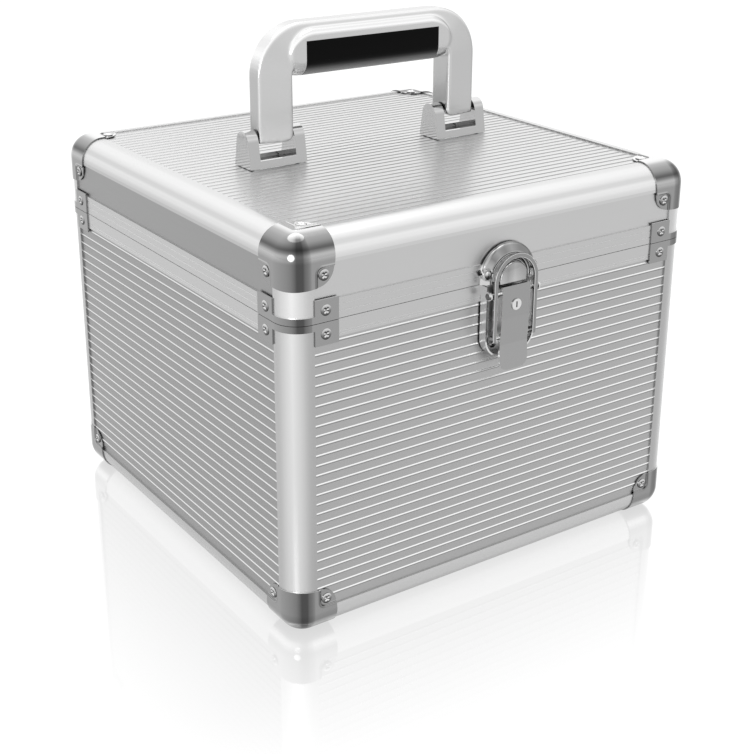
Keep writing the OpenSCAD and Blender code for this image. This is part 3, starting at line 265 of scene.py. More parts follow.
@dataclass(frozen=True)
class PaintedToneMetal(Finish):
    """A metal with painted light and shade: its greys follow the turn of its skin, as if the white room round
    it were mirrored.
    """

    painted_tones: tuple[tuple[Turn, Stops], ...]
    pitch_mm: Point
    spread: float = 0.04
    bump: float = 0.0
    bump_mm: float = 0.05

    def build(self) -> Material:
        """Returns the material."""
        material, tree, shader = self.start(1.0)
        # Painted light and shade: the greys of every turn are multiplied into the base colour.
        colours = [self.painted_tone(tree, turn, stops) for turn, stops in self.painted_tones]
        colour = colours[0]
        for other in colours[1:]:
            colour = add_node(tree, "Mix", {"data_type": "RGBA", "blend_type": "MULTIPLY", 0: 1.0},
                              {6: colour, 7: other}).outputs[2]
        tree.links.new(colour, shader.inputs["Base Color"])
        grain = self.grain(tree, self.pitch_mm)
        ends = {"To Min": self.roughness - self.spread, "To Max": self.roughness + self.spread}
        rough = add_node(tree, "MapRange", ends, {"Value": grain})
        tree.links.new(rough.outputs["Result"], shader.inputs["Roughness"])
        if self.bump:
            self.roughen(tree, shader, grain, self.bump, self.bump_mm)
        return material


@dataclass(frozen=True)
class RolledAluminiumSheet(PaintedToneMetal):
    """Mill-finished aluminium sheet: satin grey, with a painted highlight on one flank of each rib and
    painted shade on the other.
    """


@dataclass(frozen=True)
class AnodisedAluminium(PaintedToneMetal):
    """Aluminium, matt etched and anodised: a pale satin with painted soft shading, and faint die lines."""


@dataclass(frozen=True)
class ChromedSteel(PaintedToneMetal):
    """Pressed steel, polished and chrome plated: mirror bright, with painted dark bands of reflection."""

    pitch_mm: Point = (6.0, 6.0, 6.0)
    spread: float = 0.03


@dataclass(frozen=True)
class GlossAbs(Finish):
    """Injection-moulded ABS, polished: deep black, with a painted soft grey sheen where it curls under."""

    stops: Stops
    specular: float = 0.06
    speck_mm: Point = (0.4, 0.4, 0.4)
    bump: float = 0.04
    bump_mm: float = 0.02

    def build(self) -> Material:
        """Returns the material."""
        material, tree, shader = self.start(0.0)
        # Painted sheen: grey where the skin turns downwards, black on top.
        tree.links.new(self.painted_tone(tree, Turn.HEIGHT, self.stops), shader.inputs["Base Color"])
        shader.inputs["Specular IOR Level"].default_value = self.specular
        self.roughen(tree, shader, self.grain(tree, self.speck_mm), self.bump, self.bump_mm)
        return material


@dataclass(frozen=True)
class EvaFoam(Finish):
    """Closed-cell EVA foam sheet: dull charcoal with a fine pitted skin."""

    light: str = "#2B2B2D"
    dark: str = "#1B1B1D"
    cell_mm: Point = (0.8, 0.8, 0.8)
    cell_tones: Pair = (0.3, 0.7)
    bump: float = 0.5
    bump_mm: float = 0.2

    def build(self) -> Material:
        """Returns the material."""
        material, tree, shader = self.start(0.0)
        cells = self.grain(tree, self.cell_mm)
        ramp = add_node(tree, "ValToRGB", {}, {"Fac": cells})
        set_ramp(ramp, list(zip(self.cell_tones, (self.dark, self.light))))
        tree.links.new(ramp.outputs["Color"], shader.inputs["Base Color"])
        self.roughen(tree, shader, cells, self.bump, self.bump_mm)
        return material


# ---- studio

def add_object(name: str, data: bpy.types.ID) -> Object:
    """Makes an object in the scene, and returns it."""
    made = bpy.data.objects.new(name, data)
    bpy.context.scene.collection.objects.link(made)
    return made


@dataclass
class Studio:
    """White floor, even white surroundings, soft lamps and the camera."""

    eye: Point = (-0.4976, -0.7251, 0.4604)
    forward: Point = (0.5245, 0.7780, -0.3459)
    lens_mm: float = 66.6
    sensor_mm: float = 36.0
    near: float = 0.01
    shift: Pair = (0.0277, -0.1028)
    floor_half: float = 4.0
    floor_matt: str = "#E8E8E8"
    floor_faint: str = "#707070"
    floor_glow: float = 0.985
    mirror_share: float = 0.32
    mirror_fade: float = 0.18
    mirror_rough: float = 0.05
    room_shown: float = 1.0
    room_light: float = 0.7

    def build(self) -> None:
        """Makes the floor, the world, the lamps and the camera."""
        self.make_camera()
        self.make_world()
        self.make_floor()
        self.make_lamp("lamp_top", place=(0.0, 0.2, 1.9), target=(0.0, 0.0, 0.2), size=1.6, power=9.0)
        self.make_lamp("lamp_key", place=(-1.58, -1.16, 0.5), target=(-0.13, -0.13, 0.23), size=0.9,
                       power=8.5)
        bpy.context.scene.view_settings.view_transform = "Standard"

    def make_camera(self) -> None:
        """Makes the camera at the object's usual viewing angle."""
        camera = add_object("camera", bpy.data.cameras.new("camera"))
        forward = Vector(self.forward).normalized()
        right = forward.cross(Vector((0.0, 0.0, 1.0))).normalized()
        up = right.cross(forward)
        turn = Matrix((right, up, -forward)).transposed()
        camera.matrix_world = Matrix.Translation(self.eye) @ turn.to_4x4()
        camera.data.lens = self.lens_mm
        camera.data.sensor_width = self.sensor_mm
        camera.data.shift_x, camera.data.shift_y = self.shift
        camera.data.clip_start = self.near
        bpy.context.scene.camera = camera

    def seen_directly(self, tree: Tree) -> Socket:
        """Returns a socket that is 1 for camera, glossy and transmission rays, and 0 for the others."""
        path = add_node(tree, "LightPath")
        mirror = greater(tree, path.outputs["Is Camera Ray"], path.outputs["Is Glossy Ray"])
        return greater(tree, mirror, path.outputs["Is Transmission Ray"])

    def make_world(self) -> None:
        """Makes the surroundings: white where they show, softer where they only light."""
        world = bpy.data.worlds.new("surroundings")
        tree = empty_tree(world)
        white = hex_to_linear(WHITE)
        shown = add_node(tree, "Background", {"Color": white, "Strength": self.room_shown})
        lit = add_node(tree, "Background", {"Color": white, "Strength": self.room_light})
        mix = add_node(tree, "MixShader", {}, {0: self.seen_directly(tree), 1: lit.outputs[0],
                                               2: shown.outputs[0]})
        add_node(tree, "OutputWorld", {}, {"Surface": mix.outputs[0]})
        bpy.context.scene.world = world

    def make_floor(self) -> None:
        """Makes a white floor that mirrors the case close to it."""
        mesh = bpy.data.meshes.new("floor")
        half = self.floor_half
        mesh.from_pydata([(-half, -half, 0), (half, -half, 0), (half, half, 0), (-half, half, 0)], [],
                         [(0, 1, 2, 3)])
        floor = add_object("floor", mesh)
        material = bpy.data.materials.new("white_floor")
        tree = empty_tree(material)
        place = add_node(tree, "TexCoord")
        half_case = (CAD_BOX[1] - CAD_BOX[0]) / 2
        outside = vector_step(tree, "ABSOLUTE", place.outputs["Object"])
        past = vector_step(tree, "SUBTRACT", outside, (half_case.x, half_case.y, 0.0))
        clear = vector_step(tree, "MAXIMUM", past, (0.0, 0.0, 0.0))
        away = add_node(tree, "VectorMath", {"operation": "LENGTH"}, {0: clear})
        fade = {"From Min": 0.0, "From Max": self.mirror_fade, "To Min": self.mirror_share, "To Max": 0.0}
        share = add_node(tree, "MapRange", fade, {"Value": away.outputs["Value"]})
        white = hex_to_linear(WHITE)
        matt = add_node(tree, "BsdfDiffuse", {"Color": hex_to_linear(self.floor_matt)})
        faint = add_node(tree, "BsdfDiffuse", {"Color": hex_to_linear(self.floor_faint)})
        glow = add_node(tree, "Emission", {"Color": white, "Strength": self.floor_glow})
        bright = add_node(tree, "AddShader", {}, {0: faint.outputs[0], 1: glow.outputs[0]})
        mirror = add_node(tree, "BsdfGlossy", {"Color": white, "Roughness": self.mirror_rough})
        shown = add_node(tree, "MixShader", {}, {0: share.outputs["Result"], 1: bright.outputs[0],
                                                 2: mirror.outputs[0]})
        mix = add_node(tree, "MixShader", {}, {0: self.seen_directly(tree), 1: matt.outputs[0],
                                               2: shown.outputs[0]})
        add_node(tree, "OutputMaterial", {}, {"Surface": mix.outputs[0]})
        mesh.materials.append(material)

    def make_lamp(self, name: str, place: Point, target: Point, size: float, power: float) -> None:
        """Makes one round soft lamp.

        Args:
            name: the lamp's name.
            place: where it hangs.
            target: the point it faces.
            size: its width in metres.
            power: its power in watts.
        """
        lamp = bpy.data.lights.new(name, "AREA")
        lamp.shape = "DISK"
        lamp.size = size
        lamp.energy = power
        holder = add_object(name, lamp)
        holder.location = place
        aim = Vector(target) - Vector(place)
        holder.rotation_euler = aim.to_track_quat("-Z", "Y").to_euler()


# ---- mesh helpers

def smooth_by_angle(mesh: Mesh, degrees: float) -> None:
    """Shades a mesh smooth, apart from edges sharper than an angle.

    Args:
        mesh: the mesh.
        degrees: the angle between two faces above which their edge stays sharp.
    """
    limit = math.radians(degrees)
    for face in mesh.faces:
        face.smooth = True
    for edge in mesh.edges:
        edge.smooth = len(edge.link_faces) == 2 and edge.calc_face_angle(0.0) < limit


def add_piece(name: str, mesh: Mesh, finish: Material, body: str,
              nodes: Sequence[str], crease: float) -> Object:
    """Turns a mesh drawn in millimetres into a piece of the model.

    Args:
        name: the piece's name.
        mesh: the mesh in the row frame, in millimetres; it is freed.
        finish: its material.
        body: the body that it rides on.
        nodes: the nodes that it stands for.
        crease: edges sharper than this, in degrees, stay sharp.

    Returns:
        The new object.
    """
    smooth_by_angle(mesh, crease)
    bmesh.ops.scale(mesh, vec=(MM, MM, MM), verts=mesh.verts)
    data = bpy.data.meshes.new(name)
    mesh.to_mesh(data)
    mesh.free()
    piece = add_object(name, data)
    data.materials.append(finish)
    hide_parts(*nodes)
    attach(piece, body)
    LOG.info("built %s with %d faces", name, len(data.polygons))
    return piece


def add_sheet(piece: Object, thickness: float) -> None:
    """Gives a shell its sheet thickness in millimetres, inwards from its outer face."""
    skin = piece.modifiers.new("sheet", "SOLIDIFY")
    skin.thickness = thickness * MM
    skin.offset = -1.0


def add_grid(mesh: Mesh, rows: Sequence[Sequence[Vector]], closed: bool = False) -> list:
    """Adds a surface through rows of points, all of the same length.

    Args:
        mesh: the mesh that gets the surface.
        rows: the rows of points.
        closed: whether each row's end joins its start.

    Returns:
        The rows of new vertices.
    """
    grid = [[mesh.verts.new(point) for point in row] for row in rows]
    for low, high in zip(grid, grid[1:]):
        count = len(low)
        for i in range(count if closed else count - 1):
            mesh.faces.new((low[i], low[(i + 1) % count], high[(i + 1) % count], high[i]))
    return grid


def add_loft(mesh: Mesh, rings: Sequence[Sequence[Vector]]) -> None:
    """Adds a closed body through rings of points.

    Args:
        mesh: the mesh that gets the body.
        rings: the rings of points, each as long as the others.
    """
    grid = add_grid(mesh, rings, closed=True)
    mesh.faces.new(grid[0])
    mesh.faces.new(reversed(grid[-1]))


def arc(centre: Pair, radius: float, start: float, end: float, steps: int) -> list[Pair]:
    """Points along an arc.

    Args:
        centre: the arc's middle.
        radius: its radius.
        start: the first point's angle in degrees.
        end: the last point's angle in degrees.
        steps: how many parts the arc has.

    Returns:
        The points, both ends included.
    """
    angles = [math.radians(start + (end - start) * i / steps) for i in range(steps + 1)]
    return [(centre[0] + radius * math.cos(angle), centre[1] + radius * math.sin(angle)) for angle in angles]


def ease(value: float) -> float:
    """Returns a smooth step: 0 up to 0, 1 from 1, and an even curve between."""
    held = min(max(value, 0.0), 1.0)
    return held * held * (3 - 2 * held)


def face_outwards(mesh: Mesh, middle: Vector) -> None:
    """Turns an open shell's faces away from a point.

    Args:
        mesh: the shell.
        middle: the point inside it, in millimetres.
    """
    mesh.normal_update()
    facing = sum((face.calc_center_median() - middle).dot(face.normal) * face.calc_area()
                 for face in mesh.faces)
    if facing < 0:
        bmesh.ops.reverse_faces(mesh, faces=mesh.faces)


def node_box(node: str) -> tuple[Vector, Vector]:
    """Returns a node's lowest and highest corners in millimetres."""
    low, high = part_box(node)
    return Vector(low) / MM, Vector(high) / MM


CASE_Y = sum(corner.y for corner in node_box("base_floor_panel")) / 2


# ---- ribbed boards

class Side(Enum):
    """A side of the case: the way its ribs run, the way they follow each other, and its face."""

    FRONT = ((1, 0, 0), (0, 0, 1), (0, -1, 0))
    BACK = ((1, 0, 0), (0, 0, 1), (0, 1, 0))
    LEFT = ((0, 1, 0), (0, 0, 1), (-1, 0, 0))
    RIGHT = ((0, 1, 0), (0, 0, 1), (1, 0, 0))
    TOP = ((1, 0, 0), (0, 1, 0), (0, 0, 1))


@dataclass
class RibbedBoard:
    """One board whose aluminium skin is rolled with straight ribs, each with a soft root."""

    side: Side
    node: str
    slot: str
    body: str
    finish: Material
    pitch: float = 6.0
    rib_h: float = 0.4
    rib_r: float = 0.75
    root_r: float = 0.35
    lip_gap: float = 0.05
    rim_gap: float = 2.5
    sunk: float = 0.01
    crown_steps: int = 8
    root_steps: int = 3
    crease: float = 50.0

    def rib_profile(self) -> list[Pair]:
        """Returns one rib's section: its place along the board and its height."""
        middle_h = self.rib_h - self.rib_r
        reach = self.rib_r + self.root_r
        root_h = self.root_r
        half = math.sqrt(reach ** 2 - (root_h - middle_h) ** 2)
        turn = math.degrees(math.atan2(root_h - middle_h, half))
        crown = arc((0.0, middle_h), self.rib_r, 180 - turn, turn, self.crown_steps)
        left = arc((-half, root_h), self.root_r, -90, -turn, self.root_steps)
        right = arc((half, root_h), self.root_r, 180 + turn, 270, self.root_steps)
        return left[:-1] + crown + right[1:]

    def rib_places(self) -> list[float]:
        """Returns where the ribs' middles are along the direction in which they follow each other."""
        if self.side is Side.TOP:
            lip = node_box("base_post_front_left")[1].y
            count = int((CASE_Y - lip - self.rim_gap) / self.pitch)
            return [CASE_Y + i * self.pitch for i in range(-count, count + 1)]
        first = node_box("base_rim")[0].z - self.rim_gap
        last = node_box("base_edges")[1].z + self.rim_gap
        return [first - i * self.pitch for i in range(int((first - last) / self.pitch) + 1)]

    def build(self) -> None:
        """Builds the board and its ribs."""
        along, across, out = (Vector(axis) for axis in self.side.value)
        low, high = node_box(self.node)
        face = max(low.dot(out), high.dot(out)) - self.rib_h
        mesh = bmesh.new()
        skin = [low.copy(), high.copy()]
        for corner in skin:
            corner += out * min(0.0, face - corner.dot(out))
        bmesh.ops.create_cube(mesh, size=1.0)
        centre, span = (skin[0] + skin[1]) / 2, skin[1] - skin[0]
        for vert in mesh.verts:
            vert.co = Vector(c + v * s for c, v, s in zip(centre, vert.co, span))
        post = node_box("base_post_front_left")[1]
        start = post.dot(along) + self.lip_gap
        end = 2 * (CASE_Y if along.y else 0.0) - start
        profile = self.rib_profile()
        for place in self.rib_places():
            rows = [[along * x + across * (place + step) + out * (face + height - self.sunk)
                     for step, height in profile] for x in (start, end)]
            grid = add_grid(mesh, rows)
            for row in grid:
                mesh.faces.new(row)
        bmesh.ops.recalc_face_normals(mesh, faces=mesh.faces)
        add_piece(f"ribbed_{self.node}", mesh, self.finish, self.body, [self.node], self.crease)


# ---- ball corners

@dataclass
class BallCorner:
    """A pressed shell over one corner: three arms meet in a ball, and three sunk ears take the screws."""

    node: str
    body: str
    finish: Material
    skin_r: float = 15.0
    sheet_t: float = 0.7
    arm_w: float = 18.3
    arm_bow: float = 0.9
    ear_drop: float = 0.75
    ear_corner_r: float = 3.4
    bead_h: float = 0.2
    bead_w: float = 0.4
    ear_wall: float = 0.8
    ear_lead: float = 0.25
    flat_from: float = 0.75
    held_gap: float = 0.01
    weld: float = 0.02
    steps: int = 84
    crease: float = 60.0

    def drop(self, a: float, b: float) -> float:
        """How far the surface lies under the arms' skin.

        Args:
            a: distance from one outer plane.
            b: distance from the other outer plane.

        Returns:
            The drop in millimetres, below 0 on the bead round an ear.
        """
        px, py = (self.arm_w + self.ear_corner_r - v for v in (a, b))
        outside = math.hypot(max(px, 0.0), max(py, 0.0)) + min(max(px, py), 0.0)
        inside = self.ear_corner_r - outside
        flat = ease((min(a, b) / self.skin_r - self.flat_from) / (1 - self.flat_from))
        bead = math.exp(-((inside + self.bead_w) / self.bead_w) ** 2) * flat
        return self.ear_drop * ease(inside / self.ear_wall + self.ear_lead) - self.bead_h * bead

    def surface(self, a: float, b: float) -> Vector:
        """Returns the point of one face at two distances from the outer planes, drawn inwards."""
        inner = Vector((max(a, self.skin_r), max(b, self.skin_r), self.skin_r))
        point = inner + (Vector((a, b, 0.0)) - inner).normalized() * self.skin_r
        return point + Vector((0.0, 0.0, self.drop(a, b)))

    def held(self, a: float, b: float, reach: float) -> Pair:
        """Draws a point that lies past the outline back onto it.

        Args:
            a: distance from one outer plane.
            b: distance from the other outer plane.
            reach: the arms' length.

        Returns:
            Both distances, held to the bowed arm ends or to the ear's quarter disc.
        """
        if min(a, b) <= self.arm_w:
            end = reach - self.arm_bow * (min(a, b) / self.arm_w) ** 2
            return min(a, end), min(b, end)
        away = math.hypot(a - self.arm_w, b - self.arm_w)
        share = min(1.0, (reach - self.arm_bow - self.arm_w) / away)
        return self.arm_w + (a - self.arm_w) * share, self.arm_w + (b - self.arm_w) * share

    def build(self) -> None:
        """Builds the shell over its corner."""
        low, high = node_box(self.node)
        reach = high.x - low.x - self.bead_h
        mesh = bmesh.new()
        for turn in range(3):
            made, within = {}, set()
            for i, j in itertools.product(range(self.steps + 1), repeat=2):
                drawn = (reach * i / self.steps, reach * j / self.steps)
                kept = self.held(*drawn, reach)
                if math.dist(kept, drawn) < self.held_gap:
                    within.add((i, j))
                made[i, j] = mesh.verts.new([self.surface(*kept)[(axis - turn) % 3] for axis in range(3)])
            for i, j in itertools.product(range(self.steps), repeat=2):
                if (i, j) in within:
                    mesh.faces.new((made[i, j], made[i + 1, j], made[i + 1, j + 1], made[i, j + 1]))
        bmesh.ops.remove_doubles(mesh, verts=mesh.verts, dist=self.weld)
        bmesh.ops.dissolve_degenerate(mesh, dist=self.weld, edges=mesh.edges)
        loose = [vert for vert in mesh.verts if not vert.link_faces]
        bmesh.ops.delete(mesh, geom=loose, context="VERTS")
        middle = Vector((0.0, CASE_Y, node_box("base_rim")[0].z))
        for vert in mesh.verts:
            inset = [value + self.bead_h for value in vert.co]
            vert.co = [high[k] - inset[k] if high[k] + low[k] > 2 * middle[k] else low[k] + inset[k]
                       for k in range(3)]
        face_outwards(mesh, middle)
        name = self.node.replace("corner", "ball_corner")
        piece = add_piece(name, mesh, self.finish, self.body, [self.node], self.crease)
        add_sheet(piece, self.sheet_t)


# ---- handle

@dataclass
class HandleCasting:
    """The handle's casting: legs that deepen inwards, an outer band, and a grip that grows out of them."""

    finish: Material
    leg_w: float = 23.0
    leg_d: float = 12.4
    leg_inner_d: float = 18.0
    corner_r: float = 32.0
    edge_r: float = 1.6
    foot_r: float = 4.0
    grip_len: float = 126.0
    grip_d: float = 19.6
    grip_h: float = 29.5
    grip_drop: float = 4.0
    shoulder_r: float = 5.0
    top_end_r: float = 19.0
    low_end_r: float = 10.5
    belly_share: float = 0.6
    shoulder_shares: Pair = (0.9, 0.35)
    inset: float = 0.05
    end_gap: float = 0.1
    voxel: float = 0.75
    blend_share: float = 0.5
    blend_rounds: int = 4
    crease: float = 75.0
    stations: int = 60
    arc_steps: int = 18
    foot_steps: int = 6
    edge_steps: int = 4
    shoulder_steps: int = 8

    def path(self, low: Vector, high: Vector) -> list[tuple[Vector, Vector]]:
        """The way the band takes from the left foot to the right one.

        Args:
            low: the casting's lowest corner.
            high: its highest corner.

        Returns:
            Each station's place on the outer face, and its direction inwards.
        """
        corner_x, corner_z = high.x - self.corner_r, high.z - self.corner_r
        turns = [math.pi / 2 * i / self.foot_steps for i in range(self.foot_steps + 1)]
        rises = [low.z + self.foot_r * (1 - math.cos(turn)) for turn in turns]
        left = [(Vector((-high.x, CASE_Y, z)), Vector((1, 0, 0))) for z in rises]
        for i in range(self.arc_steps + 1):
            turn = math.pi / 2 * i / self.arc_steps
            inwards = Vector((math.cos(turn), 0, -math.sin(turn)))
            left.append((Vector((-corner_x, CASE_Y, corner_z)) - inwards * self.corner_r, inwards))
        right = [(Vector((-place.x, place.y, place.z)), Vector((-inwards.x, 0, inwards.z)))
                 for place, inwards in reversed(left)]
        return left + right

    def band_ring(self, place: Vector, inwards: Vector, low: float) -> list[Vector]:
        """The band's section at one station: it deepens inwards and has rounded edges.

        Args:
            place: the middle of the section's outer face.
            inwards: the direction from the outer face to the inner one.
            low: the height of the feet.

        Returns:
            The section's points.
        """
        past = self.foot_r - (place.z - low)
        reach = self.leg_w - self.rounding(past, self.foot_r)
        ring = []
        corners = [(0.0, -1, 180, 90), (reach, -1, 90, 0), (reach, 1, 360, 270), (0.0, 1, 270, 180)]
        for distance, side, start, end in corners:
            half = self.leg_d / 2 + (self.leg_inner_d - self.leg_d) / 2 * distance / self.leg_w
            middle = (abs(distance - self.edge_r), half - self.edge_r)
            for along, across in arc((0.0, 0.0), self.edge_r, start, end, self.edge_steps):
                ring.append(place + inwards * (middle[0] + along) + Vector((0, side * middle[1] - across, 0)))
        return ring

    def grip_ring(self, x: float, top: float) -> list[Vector]:
        """The grip body's section at one place along it.

        Args:
            x: the place from the handle's middle.
            top: the height of the grip body's shoulders.

        Returns:
            The section's points.
        """
        half = self.grip_len / 2
        high = top - self.rounding(abs(x) - half + self.top_end_r, self.top_end_r)
        low = top - self.grip_h + self.rounding(abs(x) - half + self.low_end_r, self.low_end_r)
        depth = self.grip_d / 2 - self.rounding(abs(x) - half + self.shoulder_r, self.shoulder_r)
        belly = min(depth, self.belly_share * (high - low))
        of_depth, of_height = self.shoulder_shares
        shoulder = min(self.shoulder_r, of_depth * depth, of_height * (high - low))
        points = [(depth * y, low + belly + belly * z) for y, z in arc((0, 0), 1, 180, 360, self.arc_steps)]
        points += arc((depth - shoulder, high - shoulder), shoulder, 0, 90, self.shoulder_steps)
        points += arc((shoulder - depth, high - shoulder), shoulder, 90, 180, self.shoulder_steps)
        return [Vector((x, CASE_Y + y, z)) for y, z in points]

    def rounding(self, past: float, radius: float) -> float:
        """Returns how far an arc has fallen at a distance past its start."""
        held = min(max(past, 0.0), radius)
        return radius - math.sqrt(radius ** 2 - held ** 2)

    def build(self) -> None:
        """Builds the casting: two rough bodies, joined by remeshing and smoothed like a sand casting."""
        low, high = node_box("handle_frame")
        high.z -= self.inset
        mesh = bmesh.new()
        add_loft(mesh, [self.band_ring(place, inwards, low.z) for place, inwards in self.path(low, high)])
        top = high.z - self.grip_drop
        half = self.grip_len / 2 - self.end_gap
        turns = [math.pi * i / self.stations for i in range(self.stations + 1)]
        add_loft(mesh, [self.grip_ring(-half * math.cos(turn), top) for turn in turns])
        piece = add_piece("handle_casting", mesh, self.finish, "handle", ["handle_frame"],
                          self.crease)
        join = piece.modifiers.new("join", "REMESH")
        join.mode = "VOXEL"
        join.voxel_size = self.voxel * MM
        join.use_smooth_shade = True
        blend = piece.modifiers.new("blend", "SMOOTH")
        blend.factor = self.blend_share
        blend.iterations = self.blend_rounds


@dataclass
class GripInsert:
    """The glossy insert that wraps the grip's underside, a trace proud of the casting."""

    finish: Material
    casting: HandleCasting
    proud: float = 0.14
    sheet_t: float = 1.2
    arc_steps: int = 24
    crease: float = 35.0

    def build(self) -> None:
        """Builds the insert."""
        low, high = node_box("handle_grip_insert")
        radius = self.casting.grip_d / 2
        section = []
        for r in (radius + self.proud, radius - self.sheet_t):
            ring = [(-r, high.z)] + arc((0.0, low.z + radius), r, 180, 360, self.arc_steps) + [(r, high.z)]
            section.append(ring if r > radius else list(reversed(ring)))
        ring = section[0] + section[1]
        mesh = bmesh.new()
        add_loft(mesh, [[Vector((x, CASE_Y + y, z)) for y, z in ring] for x in (low.x, high.x)])
        bmesh.ops.recalc_face_normals(mesh, faces=mesh.faces)
        add_piece("grip_insert", mesh, self.finish, "handle", ["handle_grip_insert"],
                  self.crease)


# ---- latch

@dataclass
class LatchCatch:
    """The catch's hood: pressed sheet with a rolled foot, a sloping cone, a groove and a raised boss."""

    finish: Material
    foot_r: float = 20.6
    boss_r: float = 10.4
    boss_h: float = 9.0
    sheet_t: float = 0.8
    seat_r: float = 2.9
    seat_h: float = 5.3
    rivet_x: float = 17.0
    rivet_rise: float = 4.5
    seat_gap: float = 0.6
    seat_wall: float = 0.8
    rim_step: float = 1.0
    cone_foot: Pair = (0.8, 3.4)
    cone_top: Pair = (4.4, 6.05)
    cone_steps: int = 8
    arc_steps: int = 96
    weld: float = 0.001
    crease: float = 60.0
    # Points of the section: steps from foot_r, or from boss_r for groove and boss_edge, and heights over
    # the panel, or under boss_h for boss_edge.
    foot: Section = ((0.0, 1.0), (0.0, 1.9), (-0.25, 2.7))
    ridge: Section = ((-5.0, 6.3), (-5.7, 6.35), (-6.2, 6.0), (-6.5, 5.3))
    groove: Section = ((3.4, 4.75), (2.8, 4.55), (1.2, 4.55), (0.5, 4.75), (0.1, 5.4))
    boss_edge: Section = ((0.0, 0.9), (-0.2, 0.35), (-0.75, 0.0))

    def profile(self) -> list[Pair]:
        """Returns the hood's section: distance from the arc's middle and height over the panel."""
        run, rise = (top - low for low, top in zip(self.cone_foot, self.cone_top))
        shares = [i / self.cone_steps for i in range(self.cone_steps + 1)]
        start_r, start_h = self.foot_r - self.cone_foot[0], self.cone_foot[1]
        section = [(self.foot_r + step, height) for step, height in self.foot]
        section += [(start_r - run * share, start_h + rise * share) for share in shares]
        section += [(self.foot_r + step, height) for step, height in self.ridge]
        section += [(self.boss_r + step, height) for step, height in self.groove]
        section += [(self.boss_r + step, self.boss_h - drop) for step, drop in self.boss_edge]
        return section + [(0.0, self.boss_h)]

    def build(self) -> None:
        """Builds the hood over the lid's latch side."""
        low, high = node_box("latch_catch")
        panel_y = node_box("lid_rim")[0].y + self.rim_step
        middle_z = high.z - self.foot_r
        turns = [math.pi * i / self.arc_steps for i in range(self.arc_steps + 1)]
        stations = [(math.cos(turn), math.sin(turn), middle_z) for turn in turns]
        stations = [(1.0, 0.0, low.z)] + stations + [(-1.0, 0.0, low.z)]
        rows = []
        for x, z, base in stations:
            row = []
            for reach, height in self.profile():
                place = Vector((x * reach, panel_y - height, base + z * reach))
                away = math.hypot(abs(place.x) - self.rivet_x, place.z - middle_z - self.rivet_rise)
                flat = ease((self.seat_r + self.seat_gap - away) / self.seat_wall)
                place.y += (panel_y - self.seat_h - place.y) * flat
                row.append(place)
            rows.append(row)
        mesh = bmesh.new()
        add_grid(mesh, rows)
        bmesh.ops.remove_doubles(mesh, verts=mesh.verts, dist=self.weld)
        face_outwards(mesh, Vector((0.0, 0.0, middle_z)))
        piece = add_piece("catch_hood", mesh, self.finish, "lid", ["latch_catch"],
                          self.crease)
        add_sheet(piece, self.sheet_t)


# ---- screws

@dataclass
class ScrewHeads:
    """Domed cross-recess heads over the fasteners of one node."""

    node: str
    body: str
    finish: Material
    head_h: float = 0.65
    recess_r: float = 1.9
    recess_w: float = 0.42
    recess_h: float = 0.5
    recess_wall: float = 1.6
    recess_fade: float = 0.5
    dome_fall: float = 0.62
    ring_crowding: float = 0.85
    root: float = 0.1
    rings: int = 9
    spokes: int = 32
    recess_turn: float = 45.0
    weld: float = 0.01
    crease: float = 50.0

    def shafts(self) -> list[tuple[Vector, Vector]]:
        """Returns the boxes of the node's separate fasteners, in millimetres."""
        source = bmesh.new()
        source.from_mesh(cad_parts[self.node].data)
        bmesh.ops.remove_doubles(source, verts=source.verts, dist=self.weld * MM)
        waiting = set(source.verts)
        boxes = []
        while waiting:
            group, edge = set(), [waiting.pop()]
            while edge:
                vert = edge.pop()
                group.add(vert)
                near = {other for link in vert.link_edges for other in link.verts} & waiting
                waiting -= near
                edge.extend(near)
            places = [vert.co / MM for vert in group]
            boxes.append((Vector([min(p[k] for p in places) for k in range(3)]),
                          Vector([max(p[k] for p in places) for k in range(3)])))
        source.free()
        return sorted(boxes, key=lambda box: tuple(round(c, 2) for c in box[0]))

    def head_point(self, ring: int, spoke: int, radius: float) -> Vector:
        """A point of a head drawn on Z.

        Args:
            ring: the ring's number from the middle.
            spoke: the spoke's number.
            radius: the head's radius.

        Returns:
            The point, its height counted from the head's seat.
        """
        reach = radius * (ring / self.rings) ** self.ring_crowding
        angle = 2 * math.pi * spoke / self.spokes
        x, y = reach * math.cos(angle), reach * math.sin(angle)
        dome = self.head_h * (1 - self.dome_fall * (reach / radius) ** 3)
        slot = ease(self.recess_wall - min(abs(x), abs(y)) / self.recess_w)
        within = ease((self.recess_r - reach) / self.recess_fade)
        return Vector((x, y, dome - self.recess_h * slot * within))

    def build(self) -> None:
        """Builds all the heads of the node as one piece."""
        mesh = bmesh.new()
        centre = Vector((0.0, CASE_Y, node_box("base_rim")[0].z))
        for low, high in self.shafts():
            span = high - low
            axis = min(range(3), key=lambda k: span[k])
            radius = max(span) / 2
            out = Vector((0.0, 0.0, 0.0))
            out[axis] = 1.0 if (low + high)[axis] / 2 > centre[axis] else -1.0
            cross = Matrix.Rotation(math.radians(self.recess_turn), 3, "Z")
            turn = out.to_track_quat("Z", "Y").to_matrix() @ cross
            seat = (low + high) / 2
            seat[axis] = (high if out[axis] > 0 else low)[axis] - out[axis] * self.head_h
            rows = [[seat + turn @ self.head_point(ring, spoke, radius) for spoke in range(self.spokes)]
                    for ring in range(1, self.rings + 1)]
            rows.append([seat + turn @ Vector((*self.head_point(self.rings, spoke, radius).xy, -self.root))
                         for spoke in range(self.spokes)])
            grid = add_grid(mesh, rows, closed=True)
            tip = mesh.verts.new(seat + turn @ self.head_point(0, 0, radius))
            for i in range(self.spokes):
                mesh.faces.new((tip, grid[0][i], grid[0][(i + 1) % self.spokes]))
            mesh.faces.new(grid[-1])
        bmesh.ops.recalc_face_normals(mesh, faces=mesh.faces)
        name = self.node.replace("screws", "screw_heads")
        add_piece(name, mesh, self.finish, self.body, [self.node], self.crease)


# ---- carried-over nodes

